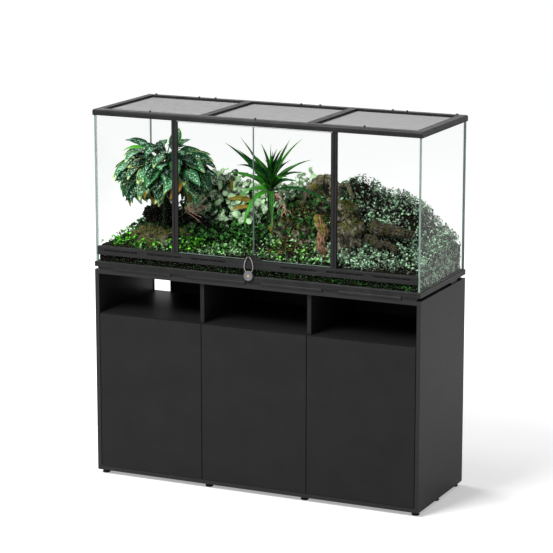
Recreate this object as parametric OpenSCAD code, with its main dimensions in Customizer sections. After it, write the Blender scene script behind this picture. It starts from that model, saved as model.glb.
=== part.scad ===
// Terrarium cabinet: a planted glass terrarium with two hinged glass doors and three lift-out
// mesh lids, standing on a three-door cabinet with an open niche.
// Millimetres. X runs along the width, -Y is the front, Z is up. The origin lies on the floor,
// in the middle of the cabinet.

/* [Cabinet] */
// Width over both side panels
cabinet_w = 1500; // [1300:10:1800]
// Depth from the door fronts to the back panel's rear face
cabinet_d = 506; // [440:2:620]
// Height of the carcass without its feet
cabinet_h = 892; // [720:1:1080]
// Thickness of the carcass boards
board_t = 18; // [15:0.5:22]
// Thickness of the doors
door_t = 18; // [15:0.5:22]
// Thickness of the back panel
back_t = 8; // [5:0.5:10]
// Clear height of the open niche
niche_h = 174; // [120:1:260]
// Gap round each cabinet door
door_gap = 3; // [2:0.5:4]
// Gap between the back of a door and the boards behind it
door_back_gap = 2; // [1.5:0.5:4]

/* [Feet] */
// Height of a foot under the bottom board
foot_h = 18; // [12:1:30]
// Diameter of a foot
foot_d = 34; // [26:1:45]
// Distance of the outer feet from the cabinet's ends
foot_inset = 25; // [22:1:60]
// Distance of the inner feet from the middle of the cabinet
foot_inner_x = 224; // [150:1:300]

/* [Cable cut-out] */
// Width of the cut-out in the back panel
cutout_w = 82; // [50:1:140]
// Height of the cut-out above the niche floor
cutout_h = 62; // [40:1:100]

/* [Cabinet hinges] */
// Diameter of a hinge cup
cup_d = 35; // [26:1:40]
// Depth of a hinge cup's hole in the door
cup_hole_depth = 12.5; // [10:0.5:14]
// Distance from the door's edge to the middle of its cups
cup_edge = 22.5; // [20:0.5:26]
// Distance from the door's top and bottom to the middle of its cups
cup_end = 95; // [70:1:140]

/* [Push latches] */
// Diameter of a latch plunger
plunger_d = 8; // [6:0.5:10]
// Length of a latch plunger
plunger_len = 34; // [28:1:45]
// Outer diameter of the latch housing
latch_d = 14; // [13:0.5:18]
// Length of the latch housing
latch_len = 50; // [46:1:70]
// Travel of a plunger
latch_travel = 2; // [1:0.5:3]

/* [Terrarium] */
// Height of the terrarium from the base frame's underside to the top frame's upper face
terrarium_h = 678; // [500:1:850]
// How far the frames stand out past the glass on each side
frame_lip = 5; // [4:0.5:8]
// Thickness of the wall glass
glass_t = 8; // [5:1:10]
// Thickness of the floor glass
floor_t = 10; // [8:1:15]
// Thickness of the pads under the base frame
pad_t = 13.5; // [8:0.5:20]
// Length of a pad
pad_len = 76; // [60:1:120]
// Depth of a pad from front to back
pad_d = 24; // [16:1:28]
// How far a pad's ends slope in towards the cabinet
pad_slope = 8; // [0:0.5:15]
// Height of the base frame
base_h = 22.5; // [20:0.5:40]
// Width of the base frame's flange
base_rail = 30; // [24:1:45]
// Height of the top frame
top_h = 25.6; // [23:0.1:40]
// Width of the top frame's rail round the lids
top_rail = 18; // [17:0.5:26]
// Width of the rounded shoulder on the frames' upper outer edge
shoulder = 7; // [3:0.5:8]

/* [Ventilation bar] */
// Height of the low front pane that shows under the ventilation bar
low_pane_h = 30; // [20:1:60]
// Height of the ventilation bar
vent_h = 36; // [32:1:60]
// Depth of the ventilation bar
vent_d = 20; // [17:0.5:26]
// Slot groups on each side of the lock
vent_groups = 3; // [1:1:4]
// Distance from one slot group to the next
vent_pitch = 207; // [170:1:230]
// Length of a slot group
vent_group_len = 162; // [80:1:165]
// Height of a slot
vent_slot_h = 8; // [6:0.5:13]
// Depth of the channel that the upper panes stand in
upper_channel = 6; // [4:0.5:8]
// Depth of the channel that covers the low pane's edge
lower_channel = 9; // [5:0.5:12]
// Slots in a group
vent_slots = 4; // [2:1:8]
// Width of the bridge between two slots
vent_bridge = 4; // [2:0.5:8]

/* [Glass doors] */
// Distance from the middle to the fixed panes' side of a hinge post
post_outer_x = 376; // [300:1:450]
// Width of a hinge post
post_w = 10; // [9:0.5:16]
// Depth of a hinge post
post_d = 12; // [11:0.5:18]
// Thickness of the door glass
door_glass_t = 6; // [4:0.5:8]
// Radius of the knuckle on the edge of a glass door
knuckle_r = 5.5; // [5:0.5:8]
// Running gap between a knuckle and its post
knuckle_gap = 0.4; // [0.3:0.1:1]
// Width of the edge profile on a glass door, from its pin to its inner edge
stile_reach = 10.5; // [9:0.5:20]
// Diameter of a hinge pin
pin_d = 3; // [2:0.5:4]
// Gap between the two glass doors
meeting_gap = 2; // [1.5:0.5:4]
// Length of the grip along the bottom of a glass door
grip_len = 42; // [30:1:60]
// Height of a grip
grip_h = 20; // [14:1:30]

/* [Mesh lids] */
// Width of a lid's border
lid_border = 17; // [14:0.5:28]
// Height of a lid's border
lid_h = 12; // [8:0.5:16]
// Gap round a lid
lid_gap = 1; // [0.6:0.1:2]
// Diameter of a lid's grip knob
knob_d = 9; // [6:0.5:14]
// Height of a lid's grip knob
knob_h = 6; // [4:0.5:12]

/* [Cable caps] */
// Length of a cable cap in the rear rail
cap_len = 40; // [25:1:60]
// Places of the cable caps along the rear rail
cap_x = [-709, -418, 80, 414, 703];

/* [Padlock] */
// Diameter of the lock body
lock_d = 41; // [30:1:50]
// Thickness of the lock body
lock_t = 12; // [8:0.5:16]
// Width of the cable loop
loop_w = 42; // [30:1:50]
// Height of the cable loop above the lock body
loop_h = 64; // [45:1:90]
// Diameter of the coated cable
cable_d = 3; // [2:0.5:4]
// Distance of the lock's hanging point from the middle of the terrarium
lock_x = -16; // [-22:0.5:-16]

/* [Planting] */
// Depth of the soil over the floor glass at the front
soil_h = 74; // [50:1:110]
// Height of the mound at the right
mound_h = 180; // [60:5:240]
// Height of the bank of soil behind the middle
ridge_h = 160; // [0:5:200]
// Reach of the leafy bush to each side
bush_r = 215; // [120:5:230]
// Number of leaves on the bush
bush_leaves = 40; // [12:1:60]
// Length of the longest blades in the rosette
blade_len = 270; // [160:5:290]
// Number of blades in the rosette
blades = 22; // [8:1:28]

/* [Hidden] */

$fn = 48;
black_board = [0.17, 0.17, 0.17];
black_rail = [0.2, 0.2, 0.2];
clear_glass = [0.7, 0.85, 0.8, 0.35];
steel = [0.75, 0.76, 0.78];

// Small gap between two faces that must not touch
touch = 0.3;
// Radial clearance of a turning or sliding fit
run = 0.05;

// Cabinet levels and lines
front_y = -cabinet_d / 2;
rear_y = cabinet_d / 2;
board_rear_y = rear_y - back_t;
inner_x = cabinet_w / 2 - board_t;
board_front_y = front_y + door_t + door_back_gap;
bottom_z = foot_h;
floor_z = bottom_z + board_t;
cabinet_top = foot_h + cabinet_h;
niche_top = cabinet_top - board_t;
shelf_top = niche_top - niche_h;
shelf_bottom = shelf_top - board_t;
bay_w = (2 * inner_x - 2 * board_t) / 3;
partition_x = (bay_w + board_t) / 2;
door_bottom = floor_z + door_gap / 2;
door_top = shelf_top - 1;
door_w = (2 * inner_x - 4 * door_gap) / 3;
door_h = door_top - door_bottom;
door_pitch = door_w + door_gap;
edge_ease = 1;

// Feet
foot_rows = [front_y + 32, 0, board_rear_y - 24];
foot_cols = [-cabinet_w / 2 + foot_inset, -foot_inner_x, foot_inner_x, cabinet_w / 2 - foot_inset];
foot_stem_d = 10;
foot_stem_h = 11;

// Back panel screws
screw_d = 3.2;
screw_head_d = 7;
screw_len = 26;

// Concealed hinges
cup_wall = 1.5;
flange_t = 1.2;
plate_t = 8.5;
arm_w = 14;

// Terrarium levels and lines
base_z = cabinet_top + pad_t;
base_top = base_z + base_h;
flange_h = 10;
floor_glass_z = base_z + flange_h;
wall_z = floor_glass_z + floor_t;
top_z = base_z + terrarium_h;
top_under = top_z - top_h;
frame_x = cabinet_w / 2 - 1;
frame_y = cabinet_d / 2 + 3;
// Middles of the pads along the front, the outer ones a little in from the corners
pad_inset = 12;
pad_xs = [for (i = [-2:2]) i * (frame_x - pad_inset - pad_len / 2) / 2];
// How far the base frame's apron bulges over the frame's face, and starts behind it
apron_out = 1.5;
apron_back = 3.5;
glass_x = frame_x - frame_lip;
glass_y = frame_y - frame_lip;
in_x = glass_x - glass_t;
in_y = glass_y - glass_t;
slot_clear = 0.2;
glass_top = top_under + 13;

// Ventilation bar
vent_z = base_top + low_pane_h;
vent_top = vent_z + vent_h;
vent_front = -frame_y;
vent_back = vent_front + vent_d;
bar_wall = 1.8;
vent_mid = (vent_z + lower_channel + vent_top - upper_channel) / 2 + 0.8;

// Glass doors
lug_t = 3;
post_inner_x = post_outer_x - post_w;
pivot_x = post_inner_x - knuckle_gap - knuckle_r;
pivot_y = -glass_y + glass_t / 2;
door_z0 = vent_top + lug_t + 0.5;
door_z1 = top_under - lug_t - 0.5;
stile_wall = 1.4;
stile_x = pivot_x - stile_reach;
door_glass_x = stile_x + 5;
pin_len = 14;
grip_wall = 2.6;

// Lids
lid_pitch = (2 * (frame_x - top_rail)) / 3;
lid_w = lid_pitch - lid_gap;
lid_d = 2 * (frame_y - top_rail) - 2 * lid_gap;
lid_z = top_z - lid_h;
ledge_t = 3.6;
ledge_w = 8;
// The front and rear ledges are narrower
end_ledge_w = 3;
mesh_t = 1.2;
mesh_lap = 5;
mesh_clear = 0.2;
crossbar_w = 20;

// Padlock
lock_y = -frame_y - lock_t / 2 - 1;
loop_top_z = door_z0 + grip_h - 6;
lock_z = loop_top_z - loop_h - lock_d / 2 + 4;
ear_t = 3;

// Planting
soil_x = in_x - 2;
soil_y = in_y - 2;
soil_front = vent_back + 1;

// ---- helpers ----

// A solid run of a profile in the YZ plane along X, centred
module along_x(length) {
    rotate([90, 0, 90])
        translate([0, 0, -length / 2])
            linear_extrude(height = length) children();
}

// A solid run of a profile in the XZ plane along Y, centred
module along_y(length) {
    rotate([90, 0, 0])
        translate([0, 0, -length / 2])
            linear_extrude(height = length) children();
}

// A box given by its lowest and highest corners
module span(lo, hi) {
    translate(lo) cube([hi[0] - lo[0], hi[1] - lo[1], hi[2] - lo[2]]);
}

// Outline of a block 2a wide from z0 to z1, with a stepped shoulder and a shadow groove
function moulded(a, z0, z1, s, g) = [
    [-a, z0], [-a, g - 1.2], [-a + 1.2, g], [-a, g + 1.2], [-a, z1 - s], [-a + s * 0.3, z1 - s * 0.3],
    [-a + s, z1], [a - s, z1], [a - s * 0.3, z1 - s * 0.3], [a, z1 - s], [a, g + 1.2],
    [a - 1.2, g], [a, g - 1.2], [a, z0]
];

// A rectangular block whose four sides all have the moulded outline
module moulded_block(ax, ay, z0, z1, s, g) {
    intersection() {
        along_x(2 * ax + 2) polygon(moulded(ay, z0, z1, s, g));
        along_y(2 * ay + 2) polygon(moulded(ax, z0, z1, s, g));
    }
}

// ---- cabinet ----

// Holes for the screws that hold the back panel to the boards
module screw_places() {
    zs = [bottom_z + board_t / 2, cabinet_top - board_t / 2];
    for (z = zs, i = [-2:2])
        translate([i * (inner_x - 60) / 2, rear_y, z]) children();
    for (s = [-1, 1], k = [1:3])
        translate([s * (cabinet_w / 2 - board_t / 2), rear_y, bottom_z + k * cabinet_h / 4]) children();
}

module screw_pilots() {
    screw_places() rotate([90, 0, 0]) cylinder(d = screw_d, h = screw_len + 1);
}

module screw_sinks() {
    screw_places() {
        rotate([90, 0, 0]) cylinder(d = screw_d + 0.3, h = back_t + 1);
        translate([0, 1, 0]) rotate([90, 0, 0]) cylinder(d = screw_head_d + 0.4, h = 3);
    }
}

module foot_places() {
    for (x = foot_cols, y = foot_rows) translate([x, y, 0]) children();
}

module bottom_board() {
    color(black_board) difference() {
        span([-cabinet_w / 2, front_y, bottom_z], [cabinet_w / 2, board_rear_y, floor_z]);
        foot_places() translate([0, 0, bottom_z - 1]) cylinder(d = foot_stem_d + 0.2, h = foot_stem_h + 2);
        screw_pilots();
    }
}

module side_panel() {
    color(black_board) difference() {
        span([inner_x, front_y, floor_z], [cabinet_w / 2, board_rear_y, cabinet_top]);
        screw_pilots();
    }
}

module side_panel_left() { mirror([1, 0, 0]) side_panel(); }
module side_panel_right() { side_panel(); }

module top_board() {
    color(black_board) difference() {
        span([-inner_x, front_y, niche_top], [inner_x, board_rear_y, cabinet_top]);
        screw_pilots();
    }
}

module shelf_board() {
    color(black_board)
        span([-inner_x, board_front_y, shelf_bottom], [inner_x, board_rear_y, shelf_top]);
}

module partition(s, z0, z1) {
    color(black_board) translate([s * partition_x, 0, 0])
        span([-board_t / 2, board_front_y, z0], [board_t / 2, board_rear_y, z1]);
}

module lower_partition_left() { partition(-1, floor_z, shelf_bottom); }
module lower_partition_right() { partition(1, floor_z, shelf_bottom); }
module niche_partition_left() { partition(-1, shelf_top, niche_top); }
module niche_partition_right() { partition(1, shelf_top, niche_top); }

module back_panel() {
    reveal = 1;
    cut_x = -inner_x + door_gap;
    color(black_board) difference() {
        span([-cabinet_w / 2 + reveal, board_rear_y, bottom_z + reveal],
             [cabinet_w / 2 - reveal, rear_y, cabinet_top - reveal]);
        span([cut_x, board_rear_y - 1, shelf_top], [cut_x + cutout_w, rear_y + 1, shelf_top + cutout_h]);
        screw_sinks();
    }
}

module back_panel_screws() {
    color("dimgray") screw_places() {
        rotate([90, 0, 0]) cylinder(d = screw_d - 0.1, h = screw_len);
        difference() {
            rotate([90, 0, 0]) cylinder(d = screw_head_d, h = 1.9);
            for (a = [0, 90]) rotate([0, a, 0]) cube([4, 2, 0.9], center = true);
        }
    }
}

module cabinet_feet() {
    color("black") foot_places() {
        rotate_extrude() polygon([
            [0, 0], [foot_d / 2 - 2, 0], [foot_d / 2, 2], [foot_d / 2, 6], [foot_d / 2 - 3, 9],
            [foot_d / 2 - 5, foot_h], [0, foot_h]
        ]);
        translate([0, 0, foot_h]) cylinder(d = foot_stem_d, h = foot_stem_h);
    }
}

// ---- cabinet doors: k is -1, 0 or 1 ----

// The side on which a door is hinged: the left and middle doors on their left
function hinge_side(k) = k == 1 ? 1 : -1;
function door_mid(k) = k * door_pitch;
function hinge_edge(k) = door_mid(k) + hinge_side(k) * door_w / 2;
function cup_x(k) = hinge_edge(k) - hinge_side(k) * cup_edge;
cup_zs = [door_bottom + cup_end, door_top - cup_end];

module cup_places(k) {
    for (z = cup_zs) translate([cup_x(k), front_y + door_t, z]) rotate([90, 0, 0]) children();
}

module cabinet_door(k) {
    e = edge_ease;
    w = door_w / 2;
    color([0.15, 0.15, 0.15]) difference() {
        translate([door_mid(k), 0, door_bottom]) linear_extrude(height = door_h) polygon([
            [-w, front_y + e], [-w + 0.3 * e, front_y + 0.3 * e], [-w + e, front_y],
            [w - e, front_y], [w - 0.3 * e, front_y + 0.3 * e], [w, front_y + e],
            [w, front_y + door_t], [-w, front_y + door_t]
        ]);
        cup_places(k) translate([0, 0, -1]) cylinder(d = cup_d + 0.2, h = cup_hole_depth + 1);
    }
}

module cabinet_door_left() { cabinet_door(-1); }
module cabinet_door_middle() { cabinet_door(0); }
module cabinet_door_right() { cabinet_door(1); }

// A cup with its screwed flange and the folded link inside it
module hinge_cups(k) {
    s = hinge_side(k);
    color(steel) cup_places(k) {
        difference() {
            union() {
                cylinder(d = cup_d, h = cup_hole_depth - 0.5);
                translate([-s * 4, 0, -flange_t]) linear_extrude(height = flange_t) union() {
                    square([14, 52], center = true);
                    translate([s * 4, 0]) circle(d = cup_d + 4);
                }
            }
            translate([0, 0, -flange_t - 1]) cylinder(d = cup_d - 2 * cup_wall, h = cup_hole_depth - 1);
            for (y = [-22.5, 22.5]) translate([-s * 4, y, -2]) cylinder(d = 3.5, h = 2.5);
        }
        translate([s * 6, 0, cup_hole_depth - 4.6]) cube([14, 11, 6], center = true);
    }
}

module hinge_cups_left() { hinge_cups(-1); }
module hinge_cups_middle() { hinge_cups(0); }
module hinge_cups_right() { hinge_cups(1); }

// An arm and its mounting plate on the panel that carries the door; u runs from the panel's
// face into the bay and v from the back of the door towards the rear
module hinge_arm(cup_u) {
    v0 = flange_t + touch;
    translate([0, 0, -arm_w / 2]) linear_extrude(height = arm_w) polygon([
        [plate_t, 76], [plate_t, 20], [cup_u - 9, 6], [cup_u - 9, v0], [cup_u + 5, v0],
        [cup_u + 5, 7], [plate_t + 12, 26], [plate_t + 12, 70], [plate_t + 9, 76]
    ]);
    translate([0, 30, -arm_w / 2 - 1]) cube([plate_t, 44, arm_w + 2]);
    translate([0, 32, -24]) cube([3, 12, 48]);
    for (z = [-19, 19]) translate([0, 38, z]) rotate([0, 90, 0]) cylinder(d = 7, h = 4.5);
    translate([plate_t + 11.5, 46, 0]) rotate([0, 90, 0]) cylinder(d = 8, h = 2);
}

// The face of the panel that carries door k
function carrier_face(k) = k == 0 ? -partition_x + board_t / 2 : k * inner_x;

module hinge_arms() {
    color(steel) for (k = [-1:1], z = cup_zs)
        translate([carrier_face(k), front_y + door_t, z])
            mirror([hinge_side(k) == 1 ? 1 : 0, 0, 0])
                hinge_arm(abs(cup_x(k) - carrier_face(k)));
}

// ---- push latches ----

function latch_x(k) = door_mid(k) - hinge_side(k) * (door_w / 2 - 60);
latch_z = shelf_bottom - latch_d / 2 - 2;
latch_y0 = board_front_y + 3;
plunger_y0 = front_y + door_t + touch;

module push_latch_housings() {
    color("dimgray") for (k = [-1:1]) translate([latch_x(k), latch_y0, latch_z]) {
        difference() {
            union() {
                rotate([-90, 0, 0]) cylinder(d = latch_d, h = latch_len);
                span([-latch_d / 2, 0, 0], [latch_d / 2, latch_len, latch_d / 2 + 2]);
                span([-latch_d, latch_len * 0.3, latch_d / 2], [latch_d, latch_len * 0.7, latch_d / 2 + 2]);
            }
            translate([0, -1, 0]) rotate([-90, 0, 0])
                cylinder(d = plunger_d + 2 * run, h = plunger_len + latch_travel + 1);
        }
    }
}

module latch_plunger(k) {
    tip = 2;
    color("lightgray") translate([latch_x(k), plunger_y0, latch_z]) rotate([-90, 0, 0])
        rotate_extrude() polygon([
            [0, 0], [plunger_d / 2 - tip, 0], [plunger_d / 2 - 0.6, 0.6], [plunger_d / 2, tip],
            [plunger_d / 2, plunger_len], [0, plunger_len]
        ]);
}

module latch_plunger_left() { latch_plunger(-1); }
module latch_plunger_middle() { latch_plunger(0); }
module latch_plunger_right() { latch_plunger(1); }

// ---- terrarium base ----

// A pad with its ribbed face to the front: sloping ends and two shadow grooves
module pad() {
    groove = 1;
    step = pad_t / 3;
    intersection() {
        along_y(pad_d + 2) polygon([
            [-pad_len / 2, pad_t], [pad_len / 2, pad_t],
            [pad_len / 2 - pad_slope, 0], [-pad_len / 2 + pad_slope, 0]
        ]);
        along_x(pad_len) polygon([
            [0, 0], [0, step - groove], [groove, step], [0, step + groove],
            [0, 2 * step - groove], [groove, 2 * step], [0, 2 * step + groove],
            [0, pad_t], [pad_d, pad_t], [pad_d, 0]
        ]);
    }
}

module base_pads() {
    inset = 3;
    side_pad_y = 130;
    color("black") translate([0, 0, cabinet_top]) {
        for (x = pad_xs, turn = [0, 180])
            rotate([0, 0, turn]) translate([x, -frame_y + inset, 0]) pad();
        for (side = [-1, 1])
            translate([side * (frame_x - inset), side_pad_y, 0]) rotate([0, 0, side * 90]) pad();
    }
}

// Rounded apron under the base frame's front between two pads, with ends that slope as the pads' do
module apron(length) {
    clear = 0.5;
    steps = 8;
    out = apron_out + apron_back;
    intersection() {
        along_x(length + 2 * pad_slope) polygon(concat(
            [[-frame_y + base_rail - 4, cabinet_top + clear], [-frame_y + base_rail - 4, base_z + 1],
             [-frame_y + apron_back, base_z + 1]],
            [for (i = [0:steps])
                [-frame_y + apron_back - out * sin(90 * i / steps),
                 base_z - (pad_t - clear) * (1 - cos(90 * i / steps))]]
        ));
        along_y(4 * frame_y) polygon([
            [-length / 2, base_z + 1], [length / 2, base_z + 1],
            [length / 2 + pad_slope - 2, cabinet_top], [-length / 2 - pad_slope + 2, cabinet_top]
        ]);
    }
}

module base_frame() {
    lip_in = frame_lip - slot_clear;
    pitch = pad_xs[1] - pad_xs[0];
    color(black_rail) for (i = [0:3])
        translate([pad_xs[i] + pitch / 2, 0, 0]) apron(pitch - pad_len - 2);
    color(black_rail) difference() {
        moulded_block(frame_x, frame_y, base_z, base_top, 3, base_z + 9);
        span([-frame_x + lip_in, -frame_y + lip_in, floor_glass_z],
             [frame_x - lip_in, frame_y - lip_in, base_top + 1]);
        span([-frame_x + base_rail, -frame_y + base_rail, base_z - 1],
             [frame_x - base_rail, frame_y - base_rail, base_top + 1]);
    }
}

module floor_glass() {
    color(clear_glass)
        span([-glass_x, -glass_y, floor_glass_z], [glass_x, glass_y, wall_z]);
}

module side_glass() {
    color(clear_glass) span([in_x, -glass_y, wall_z], [glass_x, glass_y, glass_top]);
}

module side_glass_left() { mirror([1, 0, 0]) side_glass(); }
module side_glass_right() { side_glass(); }

module back_glass() {
    color(clear_glass) span([-in_x, in_y, wall_z], [in_x, glass_y, glass_top]);
}

module low_front_pane() {
    color(clear_glass) span([-in_x, -glass_y, wall_z], [in_x, -in_y, vent_z + lower_channel]);
}

module front_pane_right() {
    color(clear_glass)
        span([post_outer_x - 7, -glass_y, vent_top - upper_channel], [in_x, -in_y, glass_top]);
}

module front_pane_left() { mirror([1, 0, 0]) front_pane_right(); }

// ---- ventilation bar ----

// Middle of each slot, along the bar
vent_slot_w = (vent_group_len - (vent_slots - 1) * vent_bridge) / vent_slots;
vent_slot_xs = [
    for (side = [-1, 1], g = [1:vent_groups], i = [0:vent_slots - 1])
        side * g * vent_pitch + (i - (vent_slots - 1) / 2) * (vent_slot_w + vent_bridge)
];
slot_z0 = vent_mid - vent_slot_h / 2;
slot_z1 = vent_mid + vent_slot_h / 2;
hollow_z0 = vent_z + lower_channel + bar_wall;
hollow_z1 = vent_top - upper_channel - bar_wall;

// The bar's section: a channel over the low pane, one under the upper panes, and a hollow
// between them behind a slightly sunk band of slots
module vent_section() {
    c = slot_clear;
    difference() {
        polygon([
            [vent_front, vent_z + 2], [vent_front + 1, vent_z], [vent_back, vent_z],
            [vent_back, vent_top], [vent_front + 2.5, vent_top], [vent_front, vent_top - 2.5],
            [vent_front, slot_z1 + 2], [vent_front + 1, slot_z1 + 1],
            [vent_front + 1, slot_z0 - 1], [vent_front, slot_z0 - 2]
        ]);
        translate([-glass_y - c, vent_z - 1])
            square([glass_t + 2 * c, lower_channel + 1]);
        translate([-glass_y - c, vent_top - upper_channel])
            square([glass_t + 2 * c, upper_channel + 1]);
        translate([vent_front + 1 + bar_wall, hollow_z0])
            square([vent_d - 1 - 2 * bar_wall, hollow_z1 - hollow_z0]);
    }
}

module vent_bar() {
    color(black_rail) difference() {
        along_x(2 * in_x - 1) vent_section();
        for (x = vent_slot_xs)
            span([x - vent_slot_w / 2, vent_front - 1, slot_z0],
                 [x + vent_slot_w / 2, vent_back + 1, slot_z1]);
    }
}

// A fine strip screen held inside the bar
module vent_screen() {
    y = vent_front + 1 + bar_wall + touch;
    color("gray")
        span([-in_x + 4, y, hollow_z0 + 0.2], [in_x - 4, y + 0.8, hollow_z1 - 0.2]);
}

// ---- hinge posts and glass doors ----

module hinge_post_right() {
    y0 = pivot_y - post_d / 2;
    cut = 2;
    groove = 8;
    color(black_rail) difference() {
        union() {
            translate([0, 0, vent_top]) linear_extrude(height = top_under - vent_top) polygon([
                [post_inner_x, y0 + cut], [post_inner_x + cut, y0], [post_outer_x - 0.6, y0],
                [post_outer_x, y0 + 0.6], [post_outer_x, y0 + post_d], [post_inner_x, y0 + post_d]
            ]);
            for (z = [vent_top, top_under - lug_t]) {
                translate([pivot_x, pivot_y, z]) cylinder(r = knuckle_r, h = lug_t);
                span([pivot_x, pivot_y - knuckle_r, z], [post_outer_x - 1, pivot_y + knuckle_r, z + lug_t]);
            }
        }
        span([post_outer_x - groove, -glass_y - slot_clear, vent_top - 1],
             [post_outer_x + 1, -in_y + slot_clear, top_under + 1]);
        translate([pivot_x, pivot_y, vent_top - 1]) cylinder(d = pin_d, h = terrarium_h);
    }
}

module hinge_post_left() { mirror([1, 0, 0]) hinge_post_right(); }

module hinge_pins() {
    color(steel) for (s = [-1, 1], z = [vent_top, top_under - pin_len])
        translate([s * pivot_x, pivot_y, z]) cylinder(d = pin_d, h = pin_len);
}

module door_glass_right() {
    color(clear_glass)
        span([meeting_gap / 2, pivot_y - door_glass_t / 2, door_z0],
             [door_glass_x, pivot_y + door_glass_t / 2, door_z1]);
}

module door_glass_left() { mirror([1, 0, 0]) door_glass_right(); }

module door_stile_right() {
    half = door_glass_t / 2 + stile_wall;
    color(black_rail) difference() {
        translate([0, 0, door_z0]) linear_extrude(height = door_z1 - door_z0) difference() {
            union() {
                translate([pivot_x, pivot_y]) circle(r = knuckle_r);
                translate([stile_x, pivot_y - half]) square([stile_reach, 2 * half]);
            }
            translate([stile_x - 1, pivot_y - door_glass_t / 2 - 0.1])
                square([door_glass_x - stile_x + 1.1, door_glass_t + 0.2]);
        }
        for (z = [door_z0 - 1, door_z1 - pin_len])
            translate([pivot_x, pivot_y, z]) cylinder(d = pin_d + 2 * run, h = pin_len + 1);
    }
}

module door_stile_left() { mirror([1, 0, 0]) door_stile_right(); }

// The moulded grip on the lower inner corner of a glass door
module door_grip() {
    x0 = meeting_gap / 2;
    y0 = pivot_y - door_glass_t / 2 - grip_wall;
    y1 = pivot_y + door_glass_t / 2 + grip_wall;
    color("black") difference() {
        translate([0, (y0 + y1) / 2, 0]) along_y(y1 - y0) polygon([
            [x0, door_z0 - 2], [x0 + grip_len, door_z0 - 2], [x0 + grip_len, door_z0],
            [x0 + 10, door_z0 + grip_h - 2], [x0 + 7, door_z0 + grip_h], [x0, door_z0 + grip_h]
        ]);
        span([x0 - 1, pivot_y - door_glass_t / 2 - 0.1, door_z0],
             [x0 + grip_len + 1, pivot_y + door_glass_t / 2 + 0.1, door_z0 + grip_h + 1]);
    }
}

module door_grip_right() { door_grip(); }

// The left grip also carries the pierced ear that the padlock hangs from
module door_grip_left() {
    ear_y = pivot_y - door_glass_t / 2 - grip_wall;
    hole_r = cable_d / 2 + 1.5;
    hole_z = loop_top_z + hole_r - cable_d / 2 - touch;
    mouth = ear_t / 2;
    color("black") {
        mirror([1, 0, 0]) door_grip();
        difference() {
            union() {
                translate([lock_x - ear_t / 2, lock_y, hole_z])
                    rotate([0, 90, 0]) cylinder(r = hole_r + mouth + 0.8, h = ear_t);
                span([lock_x - ear_t / 2, lock_y, hole_z - hole_r - mouth - 0.8],
                     [lock_x + ear_t / 2, ear_y, hole_z + hole_r]);
            }
            translate([lock_x, lock_y, hole_z]) for (side = [-1, 1]) rotate([0, side * 90, 0]) {
                cylinder(r = hole_r, h = ear_t);
                translate([0, 0, ear_t / 2 - mouth]) cylinder(r1 = hole_r, r2 = hole_r + mouth, h = mouth);
            }
        }
    }
}

// ---- padlock ----

module padlock_body() {
    color("gray") translate([lock_x, lock_y + lock_t / 2, lock_z]) rotate([90, 0, 0]) difference() {
        rotate_extrude() polygon([
            [0, 0], [lock_d / 2 - 1.5, 0], [lock_d / 2, 1.5], [lock_d / 2, lock_t - 1.5],
            [lock_d / 2 - 1.5, lock_t], [lock_d / 2 - 4, lock_t], [lock_d / 2 - 5, lock_t - 1],
            [0, lock_t - 1]
        ]);
        translate([0, 0, lock_t - 4]) cylinder(d = 9, h = 5);
        for (s = [-1, 1]) translate([s * loop_foot_x, lock_d / 2 - 12, lock_t / 2])
            rotate([-90, 0, 0]) cylinder(d = cable_d + 0.4, h = 14);
    }
}

// The loop is an egg, narrow end up, cut off at its foot angle, with straight ends in the body
loop_foot = -58;
loop_half = loop_w / 2 - cable_d / 2;
loop_steps = 24;
loop_start_z = lock_z + lock_d / 2 - 3.5;
loop_rise = (loop_top_z - loop_start_z) / (1 - sin(loop_foot));
function loop_side(a) = loop_half * cos(a) * (1 - 0.25 * sin(a));
function loop_height(a) = loop_top_z - loop_rise * (1 - sin(a));
loop_foot_x = loop_side(loop_foot);
loop_end_z = lock_z + lock_d / 2 - 12;

module padlock_cable() {
    n = loop_steps;
    m = 8;
    arc = [for (i = [1:n - 1])
        let (a = loop_foot + (180 - 2 * loop_foot) * (i - 1) / (n - 2)) [loop_side(a), loop_height(a)]];
    pts = concat([[loop_foot_x, loop_end_z]], arc, [[-loop_foot_x, loop_end_z]]);
    dirs = [for (i = [0:n])
        i == 0 ? [0, 1] : i == n ? [0, -1] :
        let (d = pts[i + 1] - pts[i - 1]) d / norm(d)];
    ring = [for (i = [0:n], j = [0:m - 1])
        let (
            a = 360 * (j + 0.5) / m,
            r = cable_d / 2,
            nrm = [-dirs[i][1], dirs[i][0]]
        )
        [lock_x + pts[i][0] + nrm[0] * r * cos(a), lock_y + r * sin(a), pts[i][1] + nrm[1] * r * cos(a)]];
    sides = [for (i = [0:n - 1], j = [0:m - 1])
        let (a = i * m + j, b = i * m + (j + 1) % m) each [[a, a + m, b], [b, a + m, b + m]]];
    caps = [for (j = [1:m - 2]) each [[0, j, j + 1], [n * m, n * m + j + 1, n * m + j]]];
    color("gainsboro") polyhedron(points = ring, faces = concat(sides, caps), convexity = 6);
}

// ---- top frame and lids ----

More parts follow.
